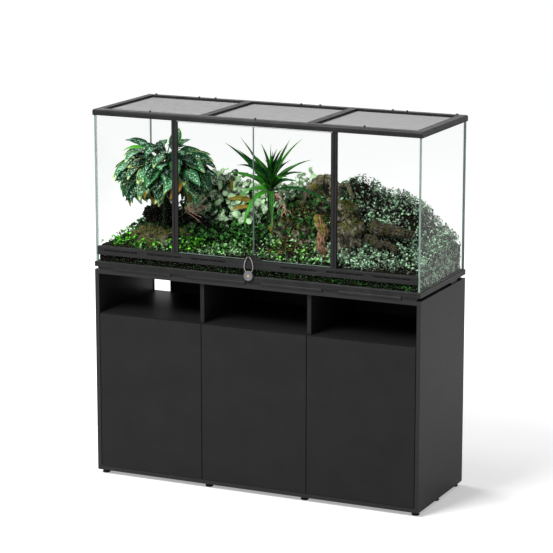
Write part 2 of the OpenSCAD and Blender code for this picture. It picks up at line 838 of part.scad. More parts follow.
module top_frame() {
    c = slot_clear;
    open_x = frame_x - top_rail;
    open_y = frame_y - top_rail;
    color(black_rail) difference() {
        moulded_block(frame_x, frame_y, top_under, top_z, shoulder, top_under + 7);
        // room for the lids
        span([-open_x, -open_y, lid_z], [open_x, open_y, top_z + 1]);
        // room under the lids, between the ledges and the crossbars
        for (i = [-1:1])
            span([i * lid_pitch - lid_pitch / 2 + (i == -1 ? ledge_w : crossbar_w / 2), -open_y + end_ledge_w,
                  top_under - 1],
                 [i * lid_pitch + lid_pitch / 2 - (i == 1 ? ledge_w : crossbar_w / 2), open_y - end_ledge_w,
                  top_z]);
        // the rail under the ledges is only as deep as the ledge
        span([-open_x, -open_y, top_under - 1], [open_x, open_y, lid_z - ledge_t]);
        // the channel for the glass
        difference() {
            span([-glass_x - c, -glass_y - c, top_under - 1], [glass_x + c, glass_y + c, glass_top + c]);
            span([-in_x + c, -in_y + c, top_under - 2], [in_x - c, in_y - c, glass_top + 1]);
        }
        // notches for the cable caps
        for (x = cap_x) translate([x, 0, 0])
            span([-cap_len * 0.7, frame_y - top_rail + 3, top_z - 8],
                 [cap_len * 0.3, frame_y + 1, top_z + 1]);
    }
}

// Each cap fills its notch, sunk a little, with a finger bump at one end
module cable_caps() {
    g = 0.2;
    color("black") for (x = cap_x) translate([x, 0, 0]) {
        span([-cap_len * 0.7 + g, frame_y - top_rail + 3 + g, top_z - 8],
             [cap_len * 0.3 - g, frame_y - 1, top_z - 1.5]);
        translate([0, frame_y - top_rail / 2 + 2, top_z - 1.5])
            rotate_extrude() polygon([[0, 0], [6, 0], [5.4, 3.2], [3.6, 4.6], [0, 5]]);
    }
}

module lid_frame(i) {
    b = lid_border;
    w = lid_w / 2;
    d = lid_d / 2;
    color(black_rail) translate([i * lid_pitch, 0, 0]) {
        difference() {
            intersection() {
                along_x(2 * w) polygon([
                    [-d, lid_z], [-d, top_z - 1], [-d + 1, top_z], [d - 1, top_z], [d, top_z - 1], [d, lid_z]
                ]);
                along_y(2 * d) polygon([
                    [-w, lid_z], [-w, top_z - 1], [-w + 1, top_z], [w - 1, top_z], [w, top_z - 1], [w, lid_z]
                ]);
            }
            span([-w + b, -d + b, lid_z - 1], [w - b, d - b, top_z + 1]);
            span([-w + b - mesh_lap, -d + b - mesh_lap, lid_z - 1],
                 [w - b + mesh_lap, d - b + mesh_lap, lid_z + mesh_t + 0.2]);
            // shadow line along each side border
            for (s = [-1, 1]) translate([s * (w - b / 2), 0, top_z])
                cube([2, 2 * d - 2 * b, 1.6], center = true);
        }
        for (s = [-1, 1]) translate([0, s * (d - b / 2), top_z]) rotate_extrude() polygon([
            [0, 0], [knob_d / 2 - 1.5, 0], [knob_d / 2 - 1.5, knob_h * 0.3], [knob_d / 2, knob_h * 0.5],
            [knob_d / 2 - 0.6, knob_h * 0.85], [knob_d / 2 - 2, knob_h], [0, knob_h]
        ]);
    }
}

module lid_frame_left() { lid_frame(-1); }
module lid_frame_middle() { lid_frame(0); }
module lid_frame_right() { lid_frame(1); }

// A taut sheet of fine wire mesh
module lid_mesh(i) {
    w = lid_w / 2 - lid_border + mesh_lap - mesh_clear;
    d = lid_d / 2 - lid_border + mesh_lap - mesh_clear;
    color("silver") translate([i * lid_pitch, 0, 0])
        span([-w, -d, lid_z + 0.1], [w, d, lid_z + 0.1 + mesh_t]);
}

module lid_mesh_left() { lid_mesh(-1); }
module lid_mesh_middle() { lid_mesh(0); }
module lid_mesh_right() { lid_mesh(1); }

// ---- planting ----

function bump(x, y, cx, cy, rx, ry) = exp(-pow((x - cx) / rx, 2) - pow((y - cy) / ry, 2));
function ripple(x, y) = 6 * sin(x * 1.7 + y * 0.9) + 4 * sin(y * 2.6 - x * 0.8);

// Height of the soil over the floor glass
function soil_top(x, y) =
    soil_h + 20 * (y + soil_y) / (2 * soil_y) + ripple(x, y)
    + mound_h * bump(x, y, 520, 90, 230, 210)
    + 70 * bump(x, y, 250, 120, 130, 160)
    + ridge_h * bump(x, y, -110, 160, 250, 110)
    + 28 * bump(x, y, -620, 120, 170, 170);

// A closed heap over a rectangle, whose upper surface is z0 + h(x, y)
module heap(lo, hi, nx, ny, z0, heights) {
    at = function (i, j) [lo[0] + (hi[0] - lo[0]) * i / nx, lo[1] + (hi[1] - lo[1]) * j / ny];
    k = (nx + 1) * (ny + 1);
    id = function (i, j) j * (nx + 1) + i;
    top = [for (j = [0:ny], i = [0:nx]) let (p = at(i, j)) [p[0], p[1], z0 + heights(p[0], p[1])]];
    low = [for (j = [0:ny], i = [0:nx]) let (p = at(i, j)) [p[0], p[1], z0]];
    up = [for (j = [0:ny - 1], i = [0:nx - 1]) each [
        [id(i, j), id(i + 1, j + 1), id(i + 1, j)], [id(i, j), id(i, j + 1), id(i + 1, j + 1)]]];
    down = [for (f = up) [f[0] + k, f[2] + k, f[1] + k]];
    front = [for (i = [0:nx - 1]) each [
        [id(i, 0), id(i + 1, 0), id(i, 0) + k], [id(i + 1, 0), id(i + 1, 0) + k, id(i, 0) + k]]];
    back = [for (i = [0:nx - 1]) each [
        [id(i, ny), id(i, ny) + k, id(i + 1, ny)], [id(i + 1, ny), id(i, ny) + k, id(i + 1, ny) + k]]];
    left = [for (j = [0:ny - 1]) each [
        [id(0, j), id(0, j) + k, id(0, j + 1)], [id(0, j + 1), id(0, j) + k, id(0, j + 1) + k]]];
    right = [for (j = [0:ny - 1]) each [
        [id(nx, j), id(nx, j + 1), id(nx, j) + k], [id(nx, j + 1), id(nx, j + 1) + k, id(nx, j) + k]]];
    polyhedron(points = concat(top, low), faces = concat(up, down, front, back, left, right), convexity = 8);
}

// The bed, with a toe under the ventilation bar against the low pane
module soil_bed() {
    color([0.22, 0.16, 0.1]) {
        heap([-soil_x, soil_front], [soil_x, soil_y], 30, 10, wall_z, function (x, y) soil_top(x, y));
        span([-soil_x, -in_y + 0.5, wall_z], [soil_x, soil_front + 6, vent_z - 1]);
    }
}

// One rough stone: a hull of eight points pushed about by a seed
module stone(size, seed) {
    r = rands(0.72, 1, 24, seed);
    hull() for (i = [0:7]) translate([
        (i % 2 == 0 ? -1 : 1) * size[0] / 2 * r[i],
        (floor(i / 2) % 2 == 0 ? -1 : 1) * size[1] / 2 * r[i + 8],
        (i < 4 ? 0 : size[2]) * r[i + 16]
    ]) sphere(r = 12, $fn = 10);
}

stones_at = [
    [-610, -90, 20, [150, 110, 70], 3], [-500, -130, 0, [90, 70, 40], 5],
    [190, 40, -10, [200, 130, 190], 7], [345, -60, 0, [110, 90, 150], 9],
    [60, -150, 0, [80, 60, 40], 11], [150, -140, 0, [110, 70, 70], 13]
];

module stones() {
    color([0.42, 0.36, 0.3]) for (s = stones_at)
        translate([s[0], s[1], wall_z + soil_top(s[0], s[1]) - 25 + s[2]]) stone(s[3], s[4]);
}

// A tapering limb through points, as a chain of hulls
module limb(points, r0, r1) {
    n = len(points) - 1;
    for (i = [0:n - 1]) hull() for (k = [i, i + 1])
        translate(points[k]) sphere(r = r0 + (r1 - r0) * k / n, $fn = 12);
}

module driftwood() {
    g = wall_z + soil_h;
    color([0.33, 0.24, 0.17]) {
        limb([[-600, 20, g - 20], [-590, 15, g + 60], [-570, 20, g + 110]], 42, 34);
        limb([[100, 60, g + 190], [170, 80, g + 235], [240, 90, g + 225], [280, 80, g + 130],
              [300, 60, g - 20]], 26, 34);
        limb([[200, -60, g + 10], [215, -50, g + 110], [190, -30, g + 170]], 20, 26);
        limb([[420, -110, g + 20], [500, -60, g + 70], [590, -20, g + 60]], 30, 24);
    }
}

// A leaf that starts at the origin, runs along X and droops at its tip
module leaf(length, width, droop) {
    hull() {
        cylinder(d = 3, h = 2, $fn = 4);
        translate([length * 0.42, 0, length * 0.05]) cylinder(d = width, h = 2, $fn = 8);
        translate([length, 0, -droop]) cylinder(d = 2, h = 2, $fn = 4);
    }
}

// Reach of an oval of half-widths rx and ry in the direction of an angle
function oval(a, rx, ry) = 1 / sqrt(pow(cos(a) / rx, 2) + pow(sin(a) / ry, 2));

// Successive leaves turn by the golden angle
leaf_turn = 137.5;
bush_at = [-495, -80, wall_z + soil_h + 330];
bush_deep = 140;

module leaf_bush() {
    color([0.2, 0.45, 0.2]) translate(bush_at) {
        translate([0, 0, -345]) cylinder(r1 = 16, r2 = 8, h = 350, $fn = 12);
        for (i = [0:bush_leaves - 1]) {
            lift = 72 - 115 * i / bush_leaves;
            flat_reach = oval(i * leaf_turn, bush_r, bush_deep);
            reach = flat_reach * cos(lift) * cos(lift) + 165 * sin(lift) * sin(lift);
            rotate([0, 0, i * leaf_turn]) rotate([0, -lift, 0]) leaf(reach, reach * 0.36, reach * 0.2);
        }
    }
}

rosette_at = [-70, 50, wall_z + soil_h + 190];
rosette_deep = 180;

module blade_rosette() {
    color([0.2, 0.5, 0.15]) translate(rosette_at) {
        translate([0, 0, -215]) cylinder(r1 = 26, r2 = 16, h = 222, $fn = 12);
        for (i = [0:blades - 1]) {
            lift = 82 - 80 * i / blades;
            flat_reach = oval(i * leaf_turn, blade_len, rosette_deep);
            l = flat_reach * cos(lift) + blade_len * (1 - cos(lift)) * (i % 3 == 0 ? 1 : 0.85);
            rotate([0, 0, i * leaf_turn]) rotate([0, -lift, 0]) {
                hull() {
                    cube([2, 14, 3], center = true);
                    translate([l * 0.55, 0, 0]) cube([2, 24, 3], center = true);
                }
                hull() {
                    translate([l * 0.55, 0, 0]) cube([2, 24, 3], center = true);
                    translate([l * 0.97, 0, -l * 0.16]) cube([2, 2, 2], center = true);
                }
            }
        }
    }
}

// Low leaves along the front, and climbing stems between bush and rosette
function cover_top(x, y) =
    soil_top(x, y) + 12 + 8 * sin(x * 3.1) * sin(y * 4.3 + 40)
    - 40 * pow(abs(y + 160) / 75, 4);

climbers = [[-330, 90, 300], [-260, 110, 350], [-200, 80, 330]];

module creeping_plants() {
    leaves = 7;
    color([0.3, 0.6, 0.2]) {
        heap([-soil_x + 8, soil_front + 4], [340, soil_front + 140], 34, 4, wall_z + 12,
             function (x, y) max(6, cover_top(x, y) - 12));
        for (c = climbers) translate([c[0], c[1], wall_z + soil_h - 20]) {
            cylinder(r = 5, h = c[2], $fn = 8);
            for (i = [1:leaves]) translate([0, 0, c[2] * (0.3 + 0.68 * i / leaves)])
                rotate([0, 0, i * leaf_turn + c[0]]) rotate([0, -15, 0]) leaf(62, 44, 16);
        }
    }
}

function shrub_top(x, y) =
    mound_h * 1.35 * bump(x, y, 530, 60, 210, 230) + 80 + 10 * sin(x * 5.1) * sin(y * 6.7)
    + 8 * sin(x * 9.7 + y * 3) - 60 * pow(abs(x - 545) / 180, 6) - 40 * pow(abs(y - 30) / 200, 6);

module shrub_mound() {
    color([0.3, 0.42, 0.22])
        heap([365, -170], [soil_x - 5, soil_y - 8], 18, 18, wall_z + soil_h - 10,
             function (x, y) max(4, shrub_top(x, y)));
}

// ---- show one piece or all of them ----

bottom_board();
side_panel_left();
side_panel_right();
top_board();
shelf_board();
lower_partition_left();
lower_partition_right();
niche_partition_left();
niche_partition_right();
back_panel();
back_panel_screws();
cabinet_feet();
cabinet_door_left();
cabinet_door_middle();
cabinet_door_right();
hinge_cups_left();
hinge_cups_middle();
hinge_cups_right();
hinge_arms();
push_latch_housings();
latch_plunger_left();
latch_plunger_middle();
latch_plunger_right();
base_pads();
base_frame();
floor_glass();
side_glass_left();
side_glass_right();
back_glass();
front_pane_left();
front_pane_right();
low_front_pane();
vent_bar();
vent_screen();
hinge_post_left();
hinge_post_right();
hinge_pins();
door_glass_left();
door_glass_right();
door_stile_left();
door_stile_right();
door_grip_left();
door_grip_right();
padlock_body();
padlock_cable();
top_frame();
lid_frame_left();
lid_frame_middle();
lid_frame_right();
lid_mesh_left();
lid_mesh_middle();
lid_mesh_right();
cable_caps();
soil_bed();
stones();
driftwood();
leaf_bush();
blade_rosette();
creeping_plants();
shrub_mound();
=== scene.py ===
"""Terrarium cabinet: the finishes, glass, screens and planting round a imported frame.

Metres, +Z up, the front faces -Y and the origin lies on the floor under the middle of the
cabinet. Every new piece is a surface worked out with numpy in the frame's own coordinates.
"""

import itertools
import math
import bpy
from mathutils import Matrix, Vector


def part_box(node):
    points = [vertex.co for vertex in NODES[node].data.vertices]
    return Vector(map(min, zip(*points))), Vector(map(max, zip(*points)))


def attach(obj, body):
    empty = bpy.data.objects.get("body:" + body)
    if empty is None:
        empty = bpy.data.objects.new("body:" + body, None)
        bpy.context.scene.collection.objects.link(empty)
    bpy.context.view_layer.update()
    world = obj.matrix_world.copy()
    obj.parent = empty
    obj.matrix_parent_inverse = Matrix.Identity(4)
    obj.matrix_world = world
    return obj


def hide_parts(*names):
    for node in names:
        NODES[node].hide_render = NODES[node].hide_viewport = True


bl_info = {
    "name": "Terrarium Cabinet",
    "version": (1, 0, 0),
    "blender": (4, 5, 0),
    "location": "View3D > Sidebar > Terrarium",
    "description": "Finishes, glass, mesh screens and planting of a terrarium on a cabinet",
    "category": "Object",
}

import bpy
import numpy as np
from bpy.props import FloatProperty, FloatVectorProperty, IntProperty, PointerProperty
from bpy.types import Operator, Panel, PropertyGroup

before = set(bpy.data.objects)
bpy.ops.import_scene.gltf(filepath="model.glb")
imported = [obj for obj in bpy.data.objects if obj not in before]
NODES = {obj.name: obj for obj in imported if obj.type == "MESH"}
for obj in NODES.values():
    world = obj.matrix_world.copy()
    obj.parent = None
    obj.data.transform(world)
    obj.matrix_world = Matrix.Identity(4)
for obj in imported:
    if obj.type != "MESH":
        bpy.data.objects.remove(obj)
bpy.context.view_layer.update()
ROOT = "carcass"
ENDS = ("left", "right")
THIRDS = ("left", "middle", "right")


def corners(node):
    """Lowest and highest corner of a node of the frame, as arrays."""
    low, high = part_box(node)
    return np.array(low), np.array(high)


TANK_X = corners("side_glass_right")[0][0]
TANK_BACK = corners("back_glass")[0][1]
TANK_FRONT, BAR_TOP = corners("vent_bar")[1][1:]
BAR_UNDER = corners("vent_bar")[0][2]
GROUND = corners("floor_glass")[1][2]
LIDS_UNDER = corners("lid_mesh_middle")[0][2]
PANELS_FRONT = corners("side_panel_right")[0][1]
EDGE_BAND = 0.0006
GOLDEN_ANGLE = math.radians(137.508)


# ---- settings ----


def colour(name, description, default):
    """A setting that is a colour."""
    return FloatVectorProperty(name=name, description=description, subtype="COLOR",
                               default=default, min=0, max=1)


def number(name, description, default, low, high, unit="NONE"):
    """A setting that is a measure."""
    return FloatProperty(name=name, description=description, unit=unit, default=default, min=low,
                         max=high)


def amount(name, description, default, low, high):
    """A setting that is a whole number."""
    return IntProperty(name=name, description=description, default=default, min=low, max=high)


class TerrariumFinish(PropertyGroup):
    board: colour("Board", "Colour of the melamine boards", (0.0135, 0.0135, 0.0137))
    rail: colour("Rails", "Colour of the moulded rails and profiles", (0.0165, 0.0165, 0.0168))
    plastic: colour("Plastic", "Colour of feet, pads, grips and caps", (0.005, 0.005, 0.005))
    edge: colour("Glass edge", "Colour of the seamed glass edges", (0.17, 0.24, 0.21))
    seam: number("Seam", "Width of the ground arris round a pane", 0.0008, 0.0002, 0.0015, "LENGTH")
    pitch: number("Mesh pitch", "Distance between the wires of a lid's screen", 0.0021, 0.0015,
                  0.02, "LENGTH")
    wire: number("Wire", "Thickness of a wire of a lid's screen", 0.00042, 0.0002, 0.001, "LENGTH")


class TerrariumPlanting(PropertyGroup):
    bush_leaves: amount("Bush leaves", "Number of leaves on the leafy bush", 290, 40, 600)
    blades: amount("Blades", "Number of short blades in the rosette", 34, 10, 90)
    cover_leaves: amount("Cover leaves", "Number of small leaves on the ground", 10500, 200, 14000)
    shrub_leaves: amount("Shrub leaves", "Number of leaves on the shrub mound", 13500, 200, 14000)
    climber_leaves: amount("Climber leaves", "Number of round leaves on the climbers", 540, 20, 600)
    soil: colour("Soil", "Colour of the soil", (0.008, 0.007, 0.004))
    rock: colour("Rock", "Colour of the bare stone", (0.082, 0.074, 0.055))
    bark: colour("Bark", "Colour of the bark and driftwood", (0.055, 0.049, 0.034))


class TerrariumStage(PropertyGroup):
    lens: number("Lens", "Focal length on a 36 mm sensor", 158.6, 20, 400)
    key: number("Key lamp", "Power of the large lamp over the front", 270, 0, 2000)
    fill: number("Fill", "Brightness of the room around the object", 0.34, 0, 2)


# ---- numbers ----

# odd 64-bit factors that scatter a cell's bits, one for each axis and one for each fold
AXIS_FACTORS = (0x9E3779B97F4A7C15, 0xC2B2AE3D27D4EB4F, 0x165667B19E3779F9)
FOLD_FACTORS = ((31, 0xBF58476D1CE4E5B9), (29, 0x94D049BB133111EB))


def unit(v):
    """Vectors scaled to length one."""
    return v / np.maximum(np.linalg.norm(v, axis=-1, keepdims=True), 1e-12)


def lattice(cells, seed):
    """A value in 0..1 for each whole-numbered cell, from multiplying and folding its bits."""
    c = cells.astype(np.int64).astype(np.uint64)
    x, y, z = (c[..., axis] * np.uint64(factor) for axis, factor in enumerate(AXIS_FACTORS))
    h = (x ^ y ^ z) + np.uint64(seed * 7919 + 13)
    for shift, factor in FOLD_FACTORS:
        h = (h ^ (h >> np.uint64(shift))) * np.uint64(factor)
    return (h >> np.uint64(40)).astype(float) / float(1 << 24)


def noise(points, size, seed=0):
    """Smooth noise in -1..1: the lattice values at the corners of cubes of that size, blended
    along x, y and z by 3t^2 - 2t^3."""
    p = points / size
    base = np.floor(p)
    t = p - base
    t = t * t * (3 - 2 * t)
    total = 0
    for corner in itertools.product((0, 1), repeat=3):
        c = np.array(corner)
        total = total + np.prod(np.where(c == 1, t, 1 - t), axis=-1) * lattice(base + c, seed)
    return 2 * total - 1


def rough(points, size, octaves, seed=0):
    """Octaves of noise added up, each half the size and half the height of the last."""
    return sum(noise(points, size / 2**k, seed + k) / 2**k for k in range(octaves))


def bump(x, y, cx, cy, rx, ry):
    """A round hill of height one: e to the minus squared distance in half-widths."""
    return np.exp(-(((x - cx) / rx) ** 2) - ((y - cy) / ry) ** 2)


def flat(x, y, z=0.0):
    """Arrays of coordinates stacked into points."""
    return np.stack(np.broadcast_arrays(x, y, z), -1).astype(float)


# ---- meshes ----


def grid_faces(rows, cols, closed=False):
    """Quads of a grid numbered row by row, whose last column joins the first where it is closed.
    They face up where columns run along x and rows along y, and outwards on a tube whose rings
    turn with the right hand about its path."""
    i, j = np.meshgrid(np.arange(rows - 1), np.arange(cols if closed else cols - 1), indexing="ij")
    here, following = i.ravel() * cols, (j.ravel() + 1) % cols
    j = j.ravel()
    return np.stack([here + j, here + following, here + cols + following, here + cols + j], -1)


def capped_faces(rows, cols):
    """Faces of a closed tube of rings: its quads, and a fan of triangles at either end to the
    two middle points that follow the rings' own."""
    j = np.arange(cols)
    k = (j + 1) % cols
    last = (rows - 1) * cols
    first_fan = np.stack([np.full(cols, rows * cols), k, j], -1)
    last_fan = np.stack([np.full(cols, rows * cols + 1), last + j, last + k], -1)
    return [grid_faces(rows, cols, True), first_fan, last_fan]


def build(name, parts, materials, replaced=(), body=ROOT, smooth=True):
    """One mesh object of several parts, each a dict of points and a list of arrays of faces and,
    where it has them, uv, tone (one number a point) and material (a slot number)."""
    starts = np.cumsum([0] + [len(p["points"]) for p in parts])
    faces = [(rows + start, p.get("material", 0))
             for p, start in zip(parts, starts) for rows in p["faces"]]
    loops = np.concatenate([rows.ravel() for rows, _ in faces]).astype(np.int32)
    sizes = np.concatenate([np.full(len(rows), rows.shape[1]) for rows, _ in faces])
    slots = np.concatenate([np.full(len(rows), place) for rows, place in faces])

    def values(key, width):
        rows = [p.get(key, np.zeros((len(p["points"]), width))) for p in parts]
        return np.concatenate([r.reshape(-1, width) for r in rows]).astype(np.float32)

    mesh = bpy.data.meshes.new(name)
    mesh.vertices.add(int(starts[-1]))
    mesh.vertices.foreach_set("co", values("points", 3).ravel())
    mesh.loops.add(len(loops))
    mesh.loops.foreach_set("vertex_index", loops)
    mesh.polygons.add(len(sizes))
    mesh.polygons.foreach_set("loop_start", (np.cumsum(sizes) - sizes).astype(np.int32))
    mesh.polygons.foreach_set("material_index", slots.astype(np.int32))
    mesh.polygons.foreach_set("use_smooth", np.full(len(sizes), smooth))
    mesh.update(calc_edges=True)
    if any("uv" in p for p in parts):
        layer = mesh.uv_layers.new(name="UVMap")
        layer.data.foreach_set("uv", values("uv", 2)[loops].ravel())
    if any("tone" in p for p in parts):
        attribute = mesh.attributes.new("tone", "FLOAT", "POINT")
        attribute.data.foreach_set("value", values("tone", 1).ravel())
    for material in materials:
        mesh.materials.append(material)
    mesh.validate()
    piece = bpy.data.objects.new(name, mesh)
    bpy.context.scene.collection.objects.link(piece)
    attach(piece, body)
    if replaced:
        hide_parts(*replaced)


def in_slot(material, part):
    """A part whose faces take another of its piece's materials."""
    part["material"] = material
    return part


def tube(path, radius, sides, ridge=None):
    """A closed tube along a path: rings of a radius about each point, square to the path, with
    a fan of triangles at both ends. ridge scales the radius by angle and place."""
    path = np.asarray(path, float)
    n = len(path)
    ahead = unit(np.gradient(path, axis=0))
    upright = np.abs(ahead[:, 2]).mean() > 0.6
    side = unit(np.cross([1.0, 0.1, 0] if upright else [0.0, 0.1, 1.0], ahead))
    over = np.cross(ahead, side)
    along = np.linspace(0, 1, n)[:, None]
    angle = np.arange(sides) * 2 * np.pi / sides
    reach = np.broadcast_to(radius, n)[:, None] * np.ones(sides)
    if ridge is not None:
        reach = reach * ridge(angle[None, :], along)
    spokes = np.cos(angle)[:, None] * side[:, None] + np.sin(angle)[:, None] * over[:, None]
    rings = path[:, None] + reach[..., None] * spokes
    uv = np.stack(np.broadcast_arrays(along, np.linspace(0, 1, sides)), -1).reshape(-1, 2)
    return {"points": np.concatenate([rings.reshape(-1, 3), path[:1], path[-1:]]),
            "faces": capped_faces(n, sides), "uv": np.concatenate([uv, [[0, 0], [1, 0]]])}


def smooth_path(knots, count):
    """Points along a curve through the knots: a Catmull-Rom spline sampled evenly in its own
    parameter."""
    knots = np.asarray(knots, float)
    ends = np.concatenate([[2 * knots[0] - knots[1]], knots, [2 * knots[-1] - knots[-2]]])
    s = np.linspace(0, len(knots) - 1, count)
    i = np.minimum(s.astype(int), len(knots) - 2)
    t = (s - i)[:, None]
    a, b, c, d = (ends[i + k] for k in range(4))
    return 0.5 * (2 * b + (c - a) * t + (2 * a - 5 * b + 4 * c - d) * t**2
                  + (3 * b - a - 3 * c + d) * t**3)


# half width of a leaf along its midrib, in 0..1
OUTLINES = {
    "lance": lambda s: np.sin(np.pi * s**0.8) ** 0.8 * (1 - 0.25 * s),
    "oval": lambda s: np.sqrt(np.maximum(1 - (2 * s - 1) ** 2, 0)) * (1.06 - 0.12 * s),
    "blade": lambda s: np.minimum(1, 0.45 + 3 * s) * (1 - s**2.2),
}
BLUNT_END = 0.04
TURN_TO_FACE = 1.2


def leaf_sheets(base, ahead, up, length, width, grid, bend, fold, outline, tone, wave=0.0,
                face=None):
    """Many leaves as thin bent sheets. The midrib follows an arc that turns down by bend over
    its length, the half width follows the outline, each half rises from the midrib by fold
    times its width, and the margins wave. With face, each leaf rolls about its midrib until its
    upper side is turned halfway to that direction."""
    n = len(base)
    rows, cols = grid
    u = np.linspace(0, 1, rows)
    v = np.linspace(1, -1, cols)
    ahead = unit(ahead)
    side = unit(np.cross(up, ahead))
    up = np.cross(ahead, side)
    length, width, bend = (np.broadcast_to(a, n)[:, None] for a in (length, width, bend))
    turn = bend * u
    run = (length / bend) * np.sin(turn)
    drop = (length / bend) * (1 - np.cos(turn))
    midrib = base[:, None] + run[..., None] * ahead[:, None] - drop[..., None] * up[:, None]
    normal = np.sin(turn)[..., None] * ahead[:, None] + np.cos(turn)[..., None] * up[:, None]
    side = np.broadcast_to(side[:, None], normal.shape)
    if face is not None:
        tangent = np.cross(side, normal)
        turned = unit(normal + TURN_TO_FACE * (face - (tangent @ face)[..., None] * tangent))
        side, normal = np.cross(turned, tangent), turned
    across = (width / 2 * np.maximum(OUTLINES[outline](u), BLUNT_END))[..., None] * v
    ripple = np.sin(u[:, None] * 17 + v * 2 + np.arange(n)[:, None, None])
    rise = np.abs(across) * fold + wave * width[..., None] * ripple * np.abs(v)
    points = (midrib[:, :, None] + across[..., None] * side[:, :, None]
              + rise[..., None] * normal[:, :, None])
    faces = (np.arange(n)[:, None, None] * rows * cols + grid_faces(rows, cols)).reshape(-1, 4)
    uv = np.stack(np.broadcast_arrays(u[:, None], (v[None] + 1) / 2), -1)
    uv = np.broadcast_to(uv, (n, rows, cols, 2)).reshape(-1, 2)
    return {"points": points.reshape(-1, 3), "faces": [faces], "uv": uv,
            "tone": np.repeat(tone, rows * cols)}


def lump(centre, size, rows, seed, flats, roughness=0.26):
    """A closed rough stone: a sphere's grid pushed in and out by noise, cut towards a few flat
    faces, then stretched to its size. A fan of triangles closes either pole."""
    cols = rows * 2
    polar = np.linspace(0.04, np.pi - 0.04, rows)[:, None]
    turn = np.arange(cols)[None] * 2 * np.pi / cols
    ball = flat(np.sin(polar) * np.cos(turn), np.sin(polar) * np.sin(turn), -np.cos(polar))
    ball = np.concatenate([ball.reshape(-1, 3), [[0, 0, -1.0], [0, 0, 1.0]]])
    rng = np.random.default_rng(seed)
    towards = ball @ unit(rng.normal(size=(14, 3))).T
    depth = rng.uniform(0.72, 0.95, 14)
    reach = np.min(np.where(towards > 0.2, depth / np.maximum(towards, 0.2), 9), 1)
    reach = np.minimum(reach, 1.0) * flats + (1 - flats)
    place = ball + seed * 5.3
    reach = reach * (1 + roughness * rough(place, 0.9, 4, seed)
                     - roughness * 0.5 * np.abs(rough(place, 0.3, 4, seed + 9)))
    return {"points": np.asarray(centre) + ball * reach[:, None] * np.asarray(size) / 2,
            "faces": capped_faces(rows, cols)}


# ---- materials ----


class Shader:
    """A material or a world being built, with short ways to add and join its nodes."""

    def __init__(self, name, kind="materials"):
        self.made = getattr(bpy.data, kind).new(name)
        self.made.use_nodes = True
        self.nodes = self.made.node_tree.nodes
        self.links = self.made.node_tree.links
        self.output = next(n for n in self.nodes if n.type.startswith("OUTPUT"))
        self.surface = next(n for n in self.nodes if n != self.output)

    def put(self, socket, value):
        """Joins a socket to another or sets its value."""
        if isinstance(value, bpy.types.NodeSocket):
            self.links.new(value, socket)
        else:
            socket.default_value = value

    def set(self, node, **inputs):
        """A node with its inputs set, by name with an underscore for each space."""
        for name, value in inputs.items():
            self.put(node.inputs[name.replace("_", " ")], value)
        return node

    def add(self, kind, **inputs):
        """A new node with its inputs set."""
        return self.set(self.nodes.new(kind), **inputs)

    def place(self):
        """Object coordinates."""
        return self.add("ShaderNodeTexCoord").outputs["Object"]

    def split(self, vector):
        """A vector's three parts, by name."""
        return self.add("ShaderNodeSeparateXYZ", Vector=vector).outputs

    def stretched(self, vector, scale):
        """A vector with its parts multiplied."""
        return self.add("ShaderNodeMapping", Vector=vector, Scale=scale).outputs[0]

    def speckle(self, scale, detail=4, stretch=(1, 1, 1), roughness=0.55):
        """Noise in 0..1 over the object's own coordinates."""
        where = self.stretched(self.place(), stretch)
        return self.add("ShaderNodeTexNoise", Vector=where, Scale=scale, Detail=detail,
                        Roughness=roughness).outputs["Fac"]

    def calc(self, operation, a, b=0.0, clamp=False):
        """The result of arithmetic on one or two values."""
        node = self.nodes.new("ShaderNodeMath")
        node.operation = operation
        node.use_clamp = clamp
        self.put(node.inputs[0], a)
        self.put(node.inputs[1], b)
        return node.outputs[0]

    def times(self, a, b):
        return self.calc("MULTIPLY", a, b)

    def remap(self, value, low, high, to_low=0.0, to_high=1.0):
        """A value between low and high taken smoothly to between two others."""
        node = self.add("ShaderNodeMapRange", Value=value, From_Min=low, From_Max=high,
                        To_Min=to_low, To_Max=to_high)
        node.interpolation_type = "SMOOTHSTEP"
        return node.outputs[0]

    def blend(self, factor, a, b):
        """Colour a where the factor is 0 and colour b where it is 1."""
        node = self.nodes.new("ShaderNodeMix")
        node.data_type = "RGBA"
        self.put(node.inputs["Factor"], factor)
        for socket, value in ((node.inputs[6], a), (node.inputs[7], b)):
            self.put(socket, value if isinstance(value, bpy.types.NodeSocket) else (*value, 1))
        return node.outputs[2]

    def ramp(self, value, *stops):
        """A colour ramp of (position, colour) stops."""
        node = self.nodes.new("ShaderNodeValToRGB")
        elements = node.color_ramp.elements
        while len(elements) < len(stops):
            elements.new(0.5)
        for element, (position, shade) in zip(elements, stops):
            element.position = position
            element.color = (*shade, 1)
        self.put(node.inputs[0], value)
        return node.outputs[0]

    def shades(self, value, shade, *stops):
        """A colour ramp of (position, factor) stops over one colour."""
        return self.ramp(value, *((position, tinted(shade, factor)) for position, factor in stops))

    def finished(self, relief=None, **inputs):
        """The material, its surface's inputs set. relief is a height in 0..1 that bumps it, with
        a depth and a strength."""
        if relief:
            height, depth, strength = relief
            inputs["Normal"] = self.add("ShaderNodeBump", Height=height, Distance=depth,
                                        Strength=strength).outputs[0]
        self.set(self.surface, **inputs)
        return self.made

    def ended(self, kind, *inputs):
        """The material or world, with a mix or sum of shaders in place of its first surface."""
        last = self.nodes.new(kind)
        for socket, value in zip(last.inputs, inputs):
            self.put(socket, value)
        self.nodes.remove(self.surface)
        self.links.new(last.outputs[0], self.output.inputs["Surface"])
        return self.made

    def seen_by_eye(self):
        """1 for the camera's own rays and for those that mirrors and glass send on."""
        path = self.add("ShaderNodeLightPath").outputs
        seen = self.calc("MAXIMUM", path["Is Camera Ray"], path["Is Glossy Ray"])
        return self.calc("MAXIMUM", seen, path["Is Transmission Ray"])


def tinted(shade, factor):
    """A colour with its parts multiplied, each up to 1."""
    return tuple(min(1.0, c * factor) for c in shade)


